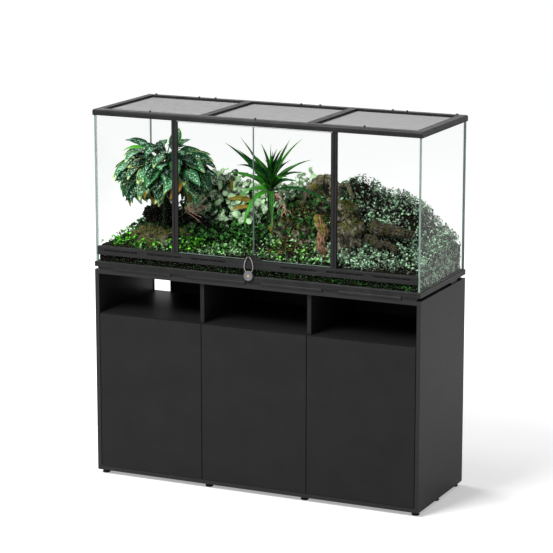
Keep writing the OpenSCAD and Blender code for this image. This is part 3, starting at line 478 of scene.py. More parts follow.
def speckled(name, grain, low, high, gloss, relief=None, **inputs):
    """A material whose colour goes from low to high and its roughness over gloss with one noise.
    relief is the noise that bumps it, with a depth and a strength."""
    s = Shader(name)
    noisy = s.speckle(*grain)
    if relief:
        relief = (s.speckle(*relief[0]), *relief[1:])
    return s.finished(relief, Base_Color=s.ramp(noisy, (0.3, low), (0.7, high)),
                      Roughness=s.remap(noisy, 0.3, 0.7, *gloss), **inputs)


def board_material(shade, banded):
    """Melamine-faced board: fine pearl relief, faint marbling, and a smoother front band."""
    s = Shader("black_board_banded" if banded else "black_board")
    base = s.shades(s.speckle(9, 5), shade, (0.3, 0.9), (0.7, 1.12))
    gloss = s.remap(s.speckle(60, 3), 0.3, 0.7, 0.40, 0.43)
    if banded:
        band = s.calc("LESS_THAN", s.split(s.place())["Y"], float(PANELS_FRONT) + EDGE_BAND)
        base = s.blend(band, base, tinted(shade, 1.7))
        gloss = s.calc("SUBTRACT", gloss, s.times(band, 0.05))
    return s.finished((s.speckle(900, 2), 0.0001, 0.25), Base_Color=base, Roughness=gloss,
                      Specular_IOR_Level=0.082)


def rail_material(shade):
    """Moulded and extruded black profile: satin, with fine lines along X and rubbed spots."""
    s = Shader("black_rail")
    rubbed = s.speckle(16, 6)
    return s.finished(
        (s.speckle(300, 2, (0.04, 1, 1)), 0.0001, 0.2),
        Base_Color=s.shades(rubbed, shade, (0.35, 0.85), (0.75, 1.3)),
        Roughness=s.remap(rubbed, 0.3, 0.75, 0.38, 0.32), Specular_IOR_Level=0.085)


def plastic_material(shade):
    """Fine-grained moulded plastic."""
    s = Shader("black_plastic")
    grain = s.speckle(1400, 2)
    return s.finished(
        (grain, 0.0001, 0.5),
        Base_Color=s.shades(s.speckle(40, 4), shade, (0.3, 0.8), (0.7, 1.5)),
        Roughness=s.remap(grain, 0.3, 0.7, 0.42, 0.55), Specular_IOR_Level=0.2)


def steel_material():
    """Nickel-plated pressed steel with brushed streaks."""
    streaks = (260, 3, (1, 1, 0.05))
    return speckled("nickel_steel", streaks, (0.42, 0.42, 0.41), (0.6, 0.59, 0.57), (0.24, 0.4),
                    (streaks, 0.00006, 0.4), Metallic=1.0)


def pale_plastic_material(name, shade, gloss):
    """Mottled plastic with a fine grain."""
    return speckled(name, (120, 3), tinted(shade, 0.85), tinted(shade, 1.12),
                    (gloss, gloss + 0.1), ((900, 2), 0.00008, 0.4))


def brass_material():
    """Rubbed brass."""
    return speckled("brass", (500, 3), (0.5, 0.36, 0.12), (0.7, 0.54, 0.22), (0.2, 0.36),
                    Metallic=1.0)


def screen_material():
    """Aluminium wire, dulled in patches."""
    return speckled("wire_mesh", (30, 4), (0.155, 0.155, 0.155), (0.19, 0.19, 0.19), (0.45, 0.6),
                    Metallic=0.2, Specular_IOR_Level=0.3)


def glass_edge_material(shade):
    """The ground edge of a pane: grey-green, with fine streaks along it."""
    streaks = (220, 3, (1, 1, 0.06))
    return speckled("glass_edge", streaks, tinted(shade, 0.75), tinted(shade, 1.25), (0.16, 0.34),
                    (streaks, 0.0001, 0.3))


def weave_material(pitch):
    """A fine screen strip: its weave as a relief, and painted shade in the openings between the
    wires.
    """
    s = Shader("screen_strip")
    parts = s.split(s.stretched(s.place(), (1 / pitch, 1, 1 / pitch)))
    wires = [s.calc("ABSOLUTE", s.calc("SINE", s.times(parts[axis], math.pi))) for axis in "XZ"]
    open_part = s.times(*wires)
    # painted shade: the openings between the wires are darker, standing for the dark behind the
    # screen
    return s.finished(
        (s.calc("SUBTRACT", 1.0, open_part), 0.0004, 0.6),
        Base_Color=s.ramp(open_part, (0.2, (0.014, 0.014, 0.014)), (0.6, (0.005, 0.005, 0.005))),
        Roughness=s.remap(open_part, 0.2, 0.6, 0.6, 0.9), Specular_IOR_Level=0.05)


def glass_material(name, shine):
    """Clear sheet glass: nearly all light passes straight, and the rest mirrors the room by
    Schlick's rule, more at a glancing angle."""
    s = Shader(name)
    facing = s.add("ShaderNodeLayerWeight", Blend=0.5).outputs["Facing"]
    glancing = s.times(s.calc("POWER", facing, 5.0), 0.96)
    smear = s.remap(s.speckle(3, 4), 0.35, 0.7, 0.85, 1.15)
    mirrored = s.times(s.calc("ADD", glancing, 0.04), smear)
    clear = s.add("ShaderNodeBsdfTransparent", Color=(0.979, 0.983, 0.981, 1))
    mirror = s.add("ShaderNodeBsdfGlossy", Color=(0.95, 0.97, 0.96, 1), Roughness=0.02)
    return s.ended("ShaderNodeMixShader", s.calc("MULTIPLY", mirrored, shine, clamp=True),
                   clear.outputs[0], mirror.outputs[0])


def soil_material(name, shade, bare):
    """Dark crumbly soil with moss where slow noise passes bare."""
    s = Shader(name)
    crumbs = s.speckle(170, 6)
    moss = s.remap(s.speckle(13, 5), bare, bare + 0.16)
    earth = s.shades(crumbs, shade, (0.3, 0.35), (0.62, 1.3), (0.8, 2.6))
    green = s.ramp(crumbs, (0.3, (0.003, 0.007, 0.002)), (0.7, (0.016, 0.036, 0.006)))
    return s.finished((crumbs, 0.004, 0.9), Base_Color=s.blend(moss, earth, green), Roughness=0.95,
                      Specular_IOR_Level=0.05)


def rock_material(shade):
    """Weathered stone, mossy on its upper faces, with pits and lichen."""
    s = Shader("mossy_rock")
    coarse = s.speckle(26, 8, roughness=0.65)
    fine = s.speckle(210, 5)
    up = s.split(s.add("ShaderNodeNewGeometry").outputs["Normal"])["Z"]
    ledge = s.remap(s.calc("ADD", up, s.times(coarse, 1.1)), 0.75, 1.25)
    # partly the stone's own colour, partly painted shade and painted highlight: the colour follows
    # the noise of the relief, near black in its low parts and up to five times lighter on its
    # raised parts
    stone = s.shades(coarse, shade, (0.38, 0.06), (0.49, 0.4), (0.57, 1.8), (0.66, 5.0))
    moss = s.ramp(fine, (0.3, (0.004, 0.006, 0.001)), (0.48, (0.020, 0.026, 0.005)),
                  (0.64, (0.20, 0.19, 0.06)))
    return s.finished((s.calc("ADD", coarse, s.times(fine, 0.4)), 0.006, 1.0),
                      Base_Color=s.blend(ledge, stone, moss), Roughness=0.9,
                      Specular_IOR_Level=0.08)


def bark_material(name, shade):
    """Furrowed bark: long ridges along the limb in its own coordinates, mossy in patches."""
    s = Shader(name)
    where = s.stretched(s.add("ShaderNodeUVMap").outputs[0], (5, 11, 1))
    furrows = s.add("ShaderNodeTexNoise", Vector=where, Scale=2.2, Detail=8,
                    Roughness=0.68).outputs["Fac"]
    moss = s.remap(s.speckle(22, 6), 0.52, 0.66)
    # partly the bark's own colour, partly painted shade and painted highlight: the colour follows
    # the furrows of the relief, near black in the furrows and lighter on the ridges
    wood = s.shades(furrows, shade, (0.36, 0.08), (0.48, 0.5), (0.58, 1.5), (0.70, 3.8))
    green = s.ramp(furrows, (0.3, tinted(shade, 0.15)), (0.7, (shade[1] * 2, shade[1] * 2, 0.03)))
    return s.finished((furrows, 0.006, 1.0), Base_Color=s.blend(moss, wood, green),
                      Roughness=0.88, Specular_IOR_Level=0.08)


def twig_material():
    """Pale pinkish root bark with darker knots."""
    s = Shader("twigs")
    knots = s.speckle(90, 5)
    return s.finished((knots, 0.001, 0.7), Roughness=0.7, Base_Color=s.ramp(
        knots, (0.3, (0.2, 0.1, 0.07)), (0.55, (0.46, 0.28, 0.2)), (0.75, (0.66, 0.48, 0.36))))


# each kind of leaf: its dark, light, patch and margin colours, how patchy it is and its least
# roughness. The patch colour is partly the leaves' own pale mottling and partly painted highlight.
LEAVES = {
    "silver_leaf": ((0.001, 0.010, 0.003), (0.014, 0.135, 0.030), (0.52, 0.84, 0.66),
                    (0.60, 0.74, 0.28), 0.11, 0.34),
    "young_leaf": ((0.02, 0.15, 0.008), (0.06, 0.32, 0.015), (0.1, 0.38, 0.03),
                   (0.2, 0.45, 0.05), -0.2, 0.34),
    "old_leaf": ((0.12, 0.10, 0.012), (0.38, 0.2, 0.035), (0.2, 0.28, 0.04),
                 (0.5, 0.3, 0.08), 0.0, 0.34),
    "green_stem": ((0.01, 0.025, 0.008), (0.03, 0.06, 0.02), (0.04, 0.07, 0.03),
                   (0.05, 0.04, 0.015), 0.0, 0.34),
    "blade_leaf": ((0.002, 0.028, 0.010), (0.035, 0.24, 0.010), (0.16, 0.36, 0.24),
                   (0.2, 0.42, 0.1), 0.0, 0.26),
    "bright_leaf": ((0.004, 0.045, 0.002), (0.16, 0.80, 0.03), (0.40, 0.95, 0.25),
                    (0.28, 0.82, 0.10), -0.03, 0.3),
    "dark_leaf": ((0.002, 0.010, 0.002), (0.06, 0.27, 0.045), (0.5, 0.74, 0.5),
                  (0.14, 0.28, 0.08), 0.0, 0.34),
    "round_leaf": ((0.004, 0.022, 0.006), (0.52, 0.86, 0.42), (0.74, 0.95, 0.72),
                   (0.66, 0.90, 0.56), 0.16, 0.3),
    "cool_leaf": ((0.002, 0.014, 0.003), (0.20, 0.66, 0.14), (0.80, 0.97, 0.72),
                  (0.42, 0.74, 0.32), 0.12, 0.3),
    "small_leaf": ((0.003, 0.006, 0.002), (0.34, 0.68, 0.37), (0.76, 0.97, 0.80),
                   (0.70, 0.56, 0.42), 0.13, 0.36),
    "moss_tuft": ((0.012, 0.014, 0.003), (0.24, 0.22, 0.05), (0.34, 0.33, 0.11),
                  (0.36, 0.28, 0.09), -0.1, 0.5),
}


def leaf_material(name, veins=26.0):
    """A leaf blade: from dark to light by its tone, which is random and carries painted shade on
    lower and inner leaves, with a pale midrib and slanting side veins, a patch colour between the
    veins and a margin colour near its edge and tip. The side veins lie where the sine of veins
    times the place along the leaf is nearly nought."""
    dark, light, patch, margin, patchiness, gloss = LEAVES[name]
    s = Shader(name)
    uv = s.split(s.add("ShaderNodeUVMap").outputs[0])
    along, across = uv["X"], uv["Y"]
    attribute = s.nodes.new("ShaderNodeAttribute")
    attribute.attribute_name = "tone"
    tone = attribute.outputs["Fac"]
    mottle = s.speckle(150, 4)
    out = s.times(s.calc("ABSOLUTE", s.calc("SUBTRACT", across, 0.5)), 2.0)
    slant = s.calc("SUBTRACT", along, s.times(out, 0.22))
    vein = s.remap(s.calc("ABSOLUTE", s.calc("SINE", s.times(slant, veins))), 0.0, 0.35, 1.0, 0.0)
    patches = s.times(s.remap(mottle, 0.62 - patchiness, 0.72 - patchiness),
                      s.remap(out, 0.35, 0.8, 1.0, 0.0))
    patches = s.times(patches, s.calc("SUBTRACT", 1.0, s.times(vein, 0.6)))
    # painted shade: the patches fade on leaves of low tone
    patches = s.times(patches, s.remap(tone, 0.0, 0.5, 0.3, 1.0))
    tip = s.calc("MAXIMUM", s.remap(out, 0.84, 1.04), s.remap(along, 0.8, 0.96))
    aged = s.times(tip, s.remap(s.calc("FRACT", s.times(tone, 7.3)), 0.45, 0.9))
    shade = s.blend(s.remap(tone, 0.1, 0.9), dark, light)
    shade = s.blend(patches, shade, patch)
    shade = s.blend(aged, shade, margin)
    shade = s.blend(s.remap(out, 0.0, 0.09, 0.55, 0.0), shade, tinted(light, 1.9))
    # painted shade: the specular level falls with the tone, so lower and inner leaves reflect less
    return s.finished((s.times(vein, -1.0), 0.0012, 0.6), Base_Color=shade,
                      Roughness=s.remap(mottle, 0.3, 0.7, gloss, gloss + 0.16),
                      Specular_IOR_Level=s.remap(tone, 0.2, 0.95, 0.015, 0.17))


def each(places, *stems):
    """The names of like nodes at several places."""
    return [f"{stem}_{place}" for stem in stems for place in places]


def paint(material, *names):
    """Gives nodes of the frame a material in place of the one they came with."""
    for name in names:
        mesh = NODES[name].data
        mesh.materials.clear()
        mesh.materials.append(material)


# ---- the ground's form ----

SOIL_LEVEL = BAR_TOP - 0.004
SOIL_FLOOR = GROUND + 0.0003
# middle in x and y, half-widths and height of each hill of soil
HILLS = (
    (-0.33, 0.17, 0.22, 0.09, 0.225),
    (-0.12, 0.165, 0.07, 0.10, 0.04),
    (0.10, 0.13, 0.18, 0.13, 0.23),
    (0.31, 0.13, 0.11, 0.14, 0.118),
    (0.52, 0.12, 0.205, 0.17, 0.235),
    (0.72, 0.06, 0.11, 0.16, -0.062),
    (-0.62, 0.14, 0.14, 0.11, 0.025),
    (0.13, -0.02, 0.12, 0.085, 0.11),
    (0.34, 0.12, 0.06, 0.08, 0.03),
    (-0.655, -0.06, 0.07, 0.08, 0.022),
)


def soil_height(x, y):
    """The soil's level: a bed that rises a little to the back, with a bank behind the middle, a
    mound at the right and a low rise at the left, each a sum of round hills, and small ripples."""
    rise = sum(h * bump(x, y, cx, cy, rx, ry) for cx, cy, rx, ry, h in HILLS)
    place = flat(x, y)
    return (SOIL_LEVEL + 0.012 * (y - TANK_FRONT) + rise + 0.009 * rough(place, 0.12, 3, 3)
            + 0.004 * rough(place, 0.02, 2, 8))


def soil_normal(x, y, step=0.006):
    """The soil's unit normal, from differences of its level either side of a point."""
    dx = (soil_height(x + step, y) - soil_height(x - step, y)) / (2 * step)
    dy = (soil_height(x, y + step) - soil_height(x, y - step)) / (2 * step)
    return unit(flat(-dx, -dy, 1.0))


def soil_block(low, high, across, deep, height, seed=0, levels=14):
    """A closed block over a rectangle, with the height function as its top and roughened upright
    sides: one grid wrapped over the top and down each side, closed by a floor."""
    low, high = np.array(low), np.array(high)
    x, y = np.meshgrid(low[0] + (high[0] - low[0]) * np.linspace(0, 1, across),
                       low[1] + (high[1] - low[1]) * np.linspace(0, 1, deep))
    top = flat(x, y, height(x, y)).reshape(-1, 3)
    i, j = np.arange(across), np.arange(deep)
    rim = np.concatenate([i, j[1:] * across + across - 1, (deep - 1) * across + i[::-1][1:],
                          (j[::-1][1:-1]) * across])
    fall = np.linspace(1, 0, levels)[1:, None, None]
    edge = top[rim][None]
    skirt = np.concatenate([np.broadcast_to(edge[..., :2], (levels - 1, len(rim), 2)),
                            SOIL_FLOOR + (edge[..., 2:] - SOIL_FLOOR) * fall], -1)
    middle = (low + high) / 2
    pull = 0.004 * (1 + rough(skirt, 0.025, 3, seed + 61)) * (fall[..., 0] > 0)
    off = skirt[..., :2] - middle
    skirt[..., :2] -= pull[..., None] * np.sign(off) * (np.abs(off) > (high - low) / 2 - 1e-6)
    points = np.concatenate([top, skirt.reshape(-1, 3), [[*middle, SOIL_FLOOR]]])
    n, m = len(top), len(rim)
    rows = np.concatenate([rim[None], n + np.arange((levels - 1) * m).reshape(levels - 1, m)])
    a, b = rows[:-1], rows[1:]
    walls = np.stack([a, b, np.roll(b, -1, 1), np.roll(a, -1, 1)], -1).reshape(-1, 4)
    base = np.stack([np.full(m, len(points) - 1), np.roll(rows[-1], -1), rows[-1]], -1)
    return {"points": points, "faces": [grid_faces(deep, across), walls, base]}


def scattered(rng, count, low, high, keep=None):
    """Random places on the soil inside a rectangle, with its normals there. A place stays with a
    chance that grows with its slope, so a bank gets as many leaves for its area as flat ground,
    times what keep gives for it."""
    x = rng.uniform(low[0], high[0], count * 4)
    y = rng.uniform(low[1], high[1], count * 4)
    normals = soil_normal(x, y)
    chance = np.minimum(1 / normals[:, 2], 4) / 4
    if keep is not None:
        chance = chance * keep(x, y)
    chosen = rng.uniform(0, 1, len(x)) < chance
    return flat(x, y, soil_height(x, y))[chosen][:count], normals[chosen][:count]


def held(part, room=0.0015, soft=0.008):
    """Squeezes a part's points smoothly between the tank's walls: within the last soft metres, a
    distance d to a wall becomes soft times e to the (d - soft) / soft."""
    low = np.array([-TANK_X + room, TANK_FRONT + room, GROUND + 0.0005])
    high = np.array([TANK_X - room, TANK_BACK - room, LIDS_UNDER - 0.02])
    p = part["points"]
    for wall, side in ((low, 1), (high, -1)):
        d = side * (p - wall)
        p = wall + side * np.where(d < soft, soft * np.exp((np.minimum(d, soft) - soft) / soft), d)
    part["points"] = p
    return part


def small_leaves(rng, places, normals, lengths, slim, lift, tones, outline="oval", rows=4):
    """Small leaves over a surface, each turned at random about a tilted normal and raised by up to
    lift; the lower a leaf, the darker its tone, a painted shade. lengths are the least and the
    most, slim is the width for a length of one, and tones are the two powers of their beta spread."""
    n = len(places)
    length = rng.uniform(*lengths, n)
    tone = rng.beta(*tones, n)
    up = unit(normals + 0.6 * rng.normal(size=(n, 3)) * [1, 1, 0.6])
    spin = unit(rng.normal(size=(n, 3)))
    ahead = unit(np.cross(up, spin))
    stand = rng.uniform(0, 1, n)
    # painted shade: the lower a leaf stands, the darker its tone
    tone = tone * (0.12 + 0.88 * stand**1.5)
    base = places + (normals * lift * stand[:, None]) - ahead * (length * 0.3)[:, None]
    return held(leaf_sheets(base, ahead, up, length, length * slim, (rows, 3),
                            rng.uniform(0.2, 1.0, n), 0.25, outline, tone))


# ---- operators ----


def finish(context):
    return context.scene.terrarium_finish


def plants(context):
    return context.scene.terrarium_planting


class TERRARIUM_OT_cabinet(Operator):
    """Finish the cabinet's boards, doors, hinges, latches, feet and screws"""
    bl_idname = "terrarium.cabinet"
    bl_label = "Cabinet"

    def execute(self, context):
        settings = finish(context)
        paint(board_material(settings.board, True), "bottom_board", "top_board",
              *each(ENDS, "side_panel"))
        paint(board_material(settings.board, False), "shelf_board", "back_panel",
              *each(ENDS, "lower_partition", "niche_partition"), *each(THIRDS, "cabinet_door"))
        paint(steel_material(), "hinge_arms", "hinge_pins", "back_panel_screws",
              *each(THIRDS, "hinge_cups"))
        paint(plastic_material(settings.plastic), "cabinet_feet", "base_pads", "cable_caps",
              "push_latch_housings", *each(ENDS, "door_grip"))
        paint(pale_plastic_material("grey_plastic", (0.3, 0.3, 0.31), 0.4),
              *each(THIRDS, "latch_plunger"))
        return {"FINISHED"}


class TERRARIUM_OT_rails(Operator):
    """Finish the frames, posts, stiles, lid borders and ventilation bar"""
    bl_idname = "terrarium.rails"
    bl_label = "Rails"

    SCREEN_PITCH = 0.0012

    def execute(self, context):
        paint(rail_material(finish(context).rail), "base_frame", "vent_bar", "top_frame",
              *each(ENDS, "hinge_post", "door_stile"), *each(THIRDS, "lid_frame"))
        paint(weave_material(self.SCREEN_PITCH), "vent_screen")
        return {"FINISHED"}


def seamed_pane(low, high, seam):
    """A pane with ground arrises: four rings of corners through its thickness, the outer two
    drawn in by the seam. The two broad faces and the bands between rings are separate parts."""
    size = high - low
    thin = int(np.argmin(size))
    a, b = [k for k in range(3) if k != thin]
    if thin == 1:
        a, b = b, a
    middle = (low + high) / 2
    turn = np.array([[-1, -1], [1, -1], [1, 1], [-1, 1]]) / 2
    points = np.zeros((4, 4, 3))
    for ring, (depth, inset) in zip(points, (
            (0, seam), (seam, 0), (size[thin] - seam, 0), (size[thin], seam))):
        ring[:, a] = middle[a] + turn[:, 0] * (size[a] - 2 * inset)
        ring[:, b] = middle[b] + turn[:, 1] * (size[b] - 2 * inset)
        ring[:, thin] = low[thin] + depth
    points = points.reshape(-1, 3)
    return [in_slot(1, {"points": points, "faces": [grid_faces(4, 4, True)]}),
            {"points": points, "faces": [np.array([[3, 2, 1, 0], [12, 13, 14, 15]])]}]


class TERRARIUM_OT_glass(Operator):
    """Make the panes of glass with ground and seamed edges"""
    bl_idname = "terrarium.glass"
    bl_label = "Glass"

    # how much of the room each pane mirrors, and the body it rides on
    PANES = {
        "floor_glass": (0.08, ROOT), "back_glass": (0.08, ROOT),
        "side_glass_left": (0.26, ROOT), "side_glass_right": (0.26, ROOT),
        "front_pane_left": (0.03, ROOT), "front_pane_right": (0.03, ROOT),
        "low_front_pane": (0.03, ROOT), "door_glass_left": (0.03, "glass_door_left"),
        "door_glass_right": (0.03, "glass_door_right"),
    }

    def execute(self, context):
        settings = finish(context)
        edge = glass_edge_material(settings.edge)
        shines = sorted({shine for shine, _ in self.PANES.values()})
        glass = {shine: glass_material(f"clear_glass_{round(shine * 100)}", shine)
                 for shine in shines}
        for node, (shine, body) in self.PANES.items():
            build(node.replace("glass", "sheet").replace("pane", "sheet") + "_seamed",
                  seamed_pane(*corners(node), settings.seam), [glass[shine], edge],
                  [node], body, smooth=False)
        return {"FINISHED"}


def screen_wires(low, high, pitch, wire, run_axis):
    """The wires of a screen that run one way: four-sided rods side by side at the pitch, those
    along X lying on those along Y, as eight corners and six quads each."""
    other = 1 - run_axis
    count = int((high[other] - low[other]) / pitch)
    beside = low[other] + (np.arange(count) + 0.5) * (high[other] - low[other]) / count
    level = (low[2] + high[2]) / 2 + wire * (0.5 if run_axis == 0 else -0.5)
    points = np.zeros((count, 2, 4, 3))
    points[..., run_axis] = np.array([low[run_axis], high[run_axis]])[None, :, None]
    turn = np.arange(4) * np.pi / 2
    spread = np.cos(turn) if run_axis == 0 else -np.cos(turn)
    points[..., other] = beside[:, None, None] + wire / math.sqrt(2) * spread
    points[..., 2] = level + wire / math.sqrt(2) * np.sin(turn)
    faces = np.concatenate([grid_faces(2, 4, True), [[3, 2, 1, 0], [4, 5, 6, 7]]])
    starts = (np.arange(count) * 8)[:, None, None]
    return {"points": points.reshape(-1, 3), "faces": [(starts + faces).reshape(-1, 4)]}


class TERRARIUM_OT_screens(Operator):
    """Lay the wires of the three lids' screens"""
    bl_idname = "terrarium.screens"
    bl_label = "Screens"

    def execute(self, context):
        settings = finish(context)
        material = screen_material()
        for place in THIRDS:
            node = f"lid_mesh_{place}"
            parts = [screen_wires(*corners(node), settings.pitch, settings.wire, axis)
                     for axis in (0, 1)]
            build(f"wire_screen_{place}", parts, [material], [node], f"lid_{place}",
                  smooth=False)
        return {"FINISHED"}


class TERRARIUM_OT_padlock(Operator):
    """Finish the padlock and put in its key cylinder"""
    bl_idname = "terrarium.padlock"
    bl_label = "Padlock"

    RADIUS, DEPTH, CHAMFER, SET_BACK = 0.0043, 0.0025, 0.0006, 0.0012
    SIDES = 24

    def execute(self, context):
        paint(pale_plastic_material("lock_grey", (0.11, 0.11, 0.115), 0.25), "padlock_body")
        paint(pale_plastic_material("coated_cable", (0.3, 0.29, 0.27), 0.2), "padlock_cable")
        build("lock_cylinder", [self.cylinder()], [brass_material()],
              body="padlock")
        return {"FINISHED"}

    def cylinder(self):
        """A short plug with a chamfered front: a profile turned about Y, with a front face."""
        low, high = corners("padlock_body")
        middle = (low + high) / 2
        profile = np.array([[self.CHAMFER, 0.0], [self.RADIUS - self.CHAMFER, 0.0],
                            [self.RADIUS, self.CHAMFER], [self.RADIUS, self.DEPTH]])
        turn = np.arange(self.SIDES) * 2 * np.pi / self.SIDES
        ring = flat(middle[0] + profile[:, :1] * np.cos(turn),
                    low[1] + self.SET_BACK + profile[:, 1:],
                    middle[2] + profile[:, :1] * np.sin(turn))
        return {"points": ring.reshape(-1, 3), "faces": [
            grid_faces(4, self.SIDES, True)[:, ::-1], np.arange(self.SIDES)[None, ::-1]]}


class TERRARIUM_OT_soil(Operator):
    """Lay the soil bed"""
    bl_idname = "terrarium.soil"
    bl_label = "Soil"

    def execute(self, context):
        low, high = corners("soil_bed")
        top = soil_block((low[0], TANK_FRONT + 0.001), high[:2], 330, 120, soil_height)
        toe = soil_block(low[:2], (high[0], TANK_FRONT + 0.012), 330, 5,
                         lambda x, y: BAR_UNDER - 0.0015 + 0 * x, 5)
        soil = plants(context).soil
        packed = soil_material("packed_soil", tinted(soil, 0.55), 0.6)
        build("soil_bed_loose", [top, in_slot(1, toe)], [soil_material("soil", soil, 0.5), packed],
              ["soil_bed"])
        return {"FINISHED"}


class TERRARIUM_OT_stones(Operator):
    """Set the stones in the soil"""
    bl_idname = "terrarium.stones"
    bl_label = "Stones"

    # centre, size, rows of its grid, seed, how far it is cut flat and how much grows on it
    STONES = (
        ((-0.575, -0.045, 1.006), (0.24, 0.17, 0.14), 48, 3, 0.2, 0.35),
        ((-0.50, 0.00, 1.03), (0.16, 0.12, 0.08), 36, 5, 0.3, 1.0),
        ((0.055, -0.045, 1.12), (0.12, 0.10, 0.12), 50, 7, 0.5, 1.7),
        ((0.155, -0.065, 1.09), (0.12, 0.10, 0.13), 50, 21, 0.5, 1.7),
        ((0.20, 0.05, 1.22), (0.16, 0.12, 0.13), 50, 27, 0.5, 1.7),
        ((0.37, -0.095, 1.085), (0.16, 0.10, 0.25), 64, 9, 0.95, 0.12),
        ((0.33, -0.04, 1.195), (0.12, 0.09, 0.11), 40, 15, 0.6, 0.6),
        ((0.045, -0.135, 1.02), (0.09, 0.06, 0.06), 36, 11, 0.6, 1.0),
        ((0.45, -0.12, 1.015), (0.10, 0.07, 0.07), 36, 13, 0.6, 1.0),
    )

    def execute(self, context):
        rng = np.random.default_rng(63)
        parts = [held(lump(centre, size, rows, seed, flats))
                 for centre, size, rows, seed, flats, _ in self.STONES]
        places = np.concatenate([p["points"][:-2] for p in parts])
        counts = [len(p["points"]) - 2 for p in parts]
        middles = np.repeat([stone[0] for stone in self.STONES], counts, 0)
        share = np.repeat([stone[5] for stone in self.STONES], counts)
        out = unit(places - middles)
        growth = out[:, 2] + 0.9 * rough(places, 0.045, 2, 71) > rng.uniform(0.15, 0.9, len(out))
        growth &= rng.uniform(size=len(out)) < 0.34 * share
        tufts = small_leaves(rng, places[growth], out[growth], (0.005, 0.011), 0.55, 0.004,
                             (1.5, 1.7), "lance", 3)
        turf = small_leaves(rng, *scattered(rng, 2600, (0.03, -0.15), (0.30, 0.07)),
                            (0.006, 0.012), 0.5, 0.02, (1.8, 1.1), "lance", 3)
        rooted = (out[:, 2] > -0.3) & (places[:, 2] > 1.04)
        rooted &= rng.uniform(size=len(out)) < 0.035 * share
        ivy = small_leaves(rng, places[rooted], out[rooted], (0.012, 0.022), 0.68, 0.022,
                           (1.5, 1.2))
        build("mossy_stones", [*parts, in_slot(1, tufts), in_slot(1, turf), in_slot(2, ivy)],
              [rock_material(plants(context).rock), leaf_material("moss_tuft"),
               leaf_material("dark_leaf")], ["stones"])
        return {"FINISHED"}


def bark_ridges(seed, depth, count):
    """Ridges round a limb: a few sine waves about its girth that wander along it."""
    def scale(angle, along):
        wander = 1.3 * np.sin(along * 6 + seed) + 0.7 * np.sin(along * 15 + seed * 2)
        ridged = np.abs(np.sin(angle * count / 2 + wander))
        knots = np.sin(angle + along * 21 + seed) * np.sin(along * 33 + seed)
        return 1 + depth * (ridged - 0.5) + depth * 0.7 * knots
    return scale


class TERRARIUM_OT_driftwood(Operator):
    """Lay the stump, bark arch, root and log"""
    bl_idname = "terrarium.driftwood"
    bl_label = "Driftwood"

    # points, radius at the start and at the end, seed, and its bark: brown, pale,
    # nearly black or reddish
    LIMBS = (
        (((-0.57, 0.06, 1.01), (-0.57, 0.055, 1.06), (-0.575, 0.05, 1.10), (-0.575, 0.05, 1.138)),
         0.052, 0.044, 1, 2),
        (((-0.595, 0.04, 1.10), (-0.62, 0.03, 1.11), (-0.64, 0.03, 1.115)), 0.034, 0.024, 2, 2),
        (((-0.56, 0.04, 1.10), (-0.545, 0.02, 1.15), (-0.53, 0.0, 1.20)), 0.022, 0.012, 3, 2),
        (((-0.50, 0.06, 1.06), (-0.45, 0.04, 1.105), (-0.40, 0.02, 1.12), (-0.34, 0.02, 1.085)),
         0.020, 0.010, 8, 2),
        (((0.10, 0.05, 1.185), (0.128, 0.035, 1.275), (0.18, 0.04, 1.316), (0.225, 0.035, 1.31),
          (0.25, 0.03, 1.275)), 0.018, 0.022, 4, 1),
        (((0.225, 0.03, 1.31), (0.215, 0.02, 1.27), (0.21, 0.03, 1.20)), 0.014, 0.012, 14, 2),
        (((0.262, 0.03, 1.225), (0.262, 0.03, 1.275), (0.28, 0.03, 1.302), (0.315, 0.03, 1.295),
          (0.335, 0.02, 1.25)), 0.009, 0.007, 12, 1),
        (((0.268, -0.12, 0.985), (0.257, -0.113, 1.06), (0.246, -0.10, 1.13), (0.231, -0.09, 1.19)),
         0.023, 0.018, 5, 3),
        (((0.465, -0.10, 1.168), (0.53, -0.105, 1.162), (0.60, -0.105, 1.155),
          (0.64, -0.10, 1.145)), 0.026, 0.015, 7, 0),
        (((0.455, -0.12, 1.125), (0.50, -0.125, 1.108), (0.55, -0.13, 1.10), (0.60, -0.13, 1.085)),
         0.017, 0.010, 16, 0),
    )
    RINGS = 56

    def execute(self, context):
        parts = []
        for knots, start, end, seed, bark in self.LIMBS:
            turn = np.linspace(0, 13, self.RINGS) + seed
            sway = 0.004 * np.sin(flat(turn, turn + 1, turn + 2))
            limb = tube(smooth_path(knots, self.RINGS) + sway,
                        np.linspace(start, end, self.RINGS), 40, bark_ridges(seed, 0.36, 11))
            parts.append(in_slot(bark, limb))
        bark = plants(context).bark
        red = (bark[0] * 4.4, bark[1] * 2.9, bark[2] * 2.4)
        build("driftwood_bark", parts,
              [bark_material("bark", bark), bark_material("pale_bark", tinted(bark, 3.2)),
               bark_material("dark_bark", tinted(bark, 0.2)), bark_material("red_bark", red)],
              ["driftwood"])
        return {"FINISHED"}


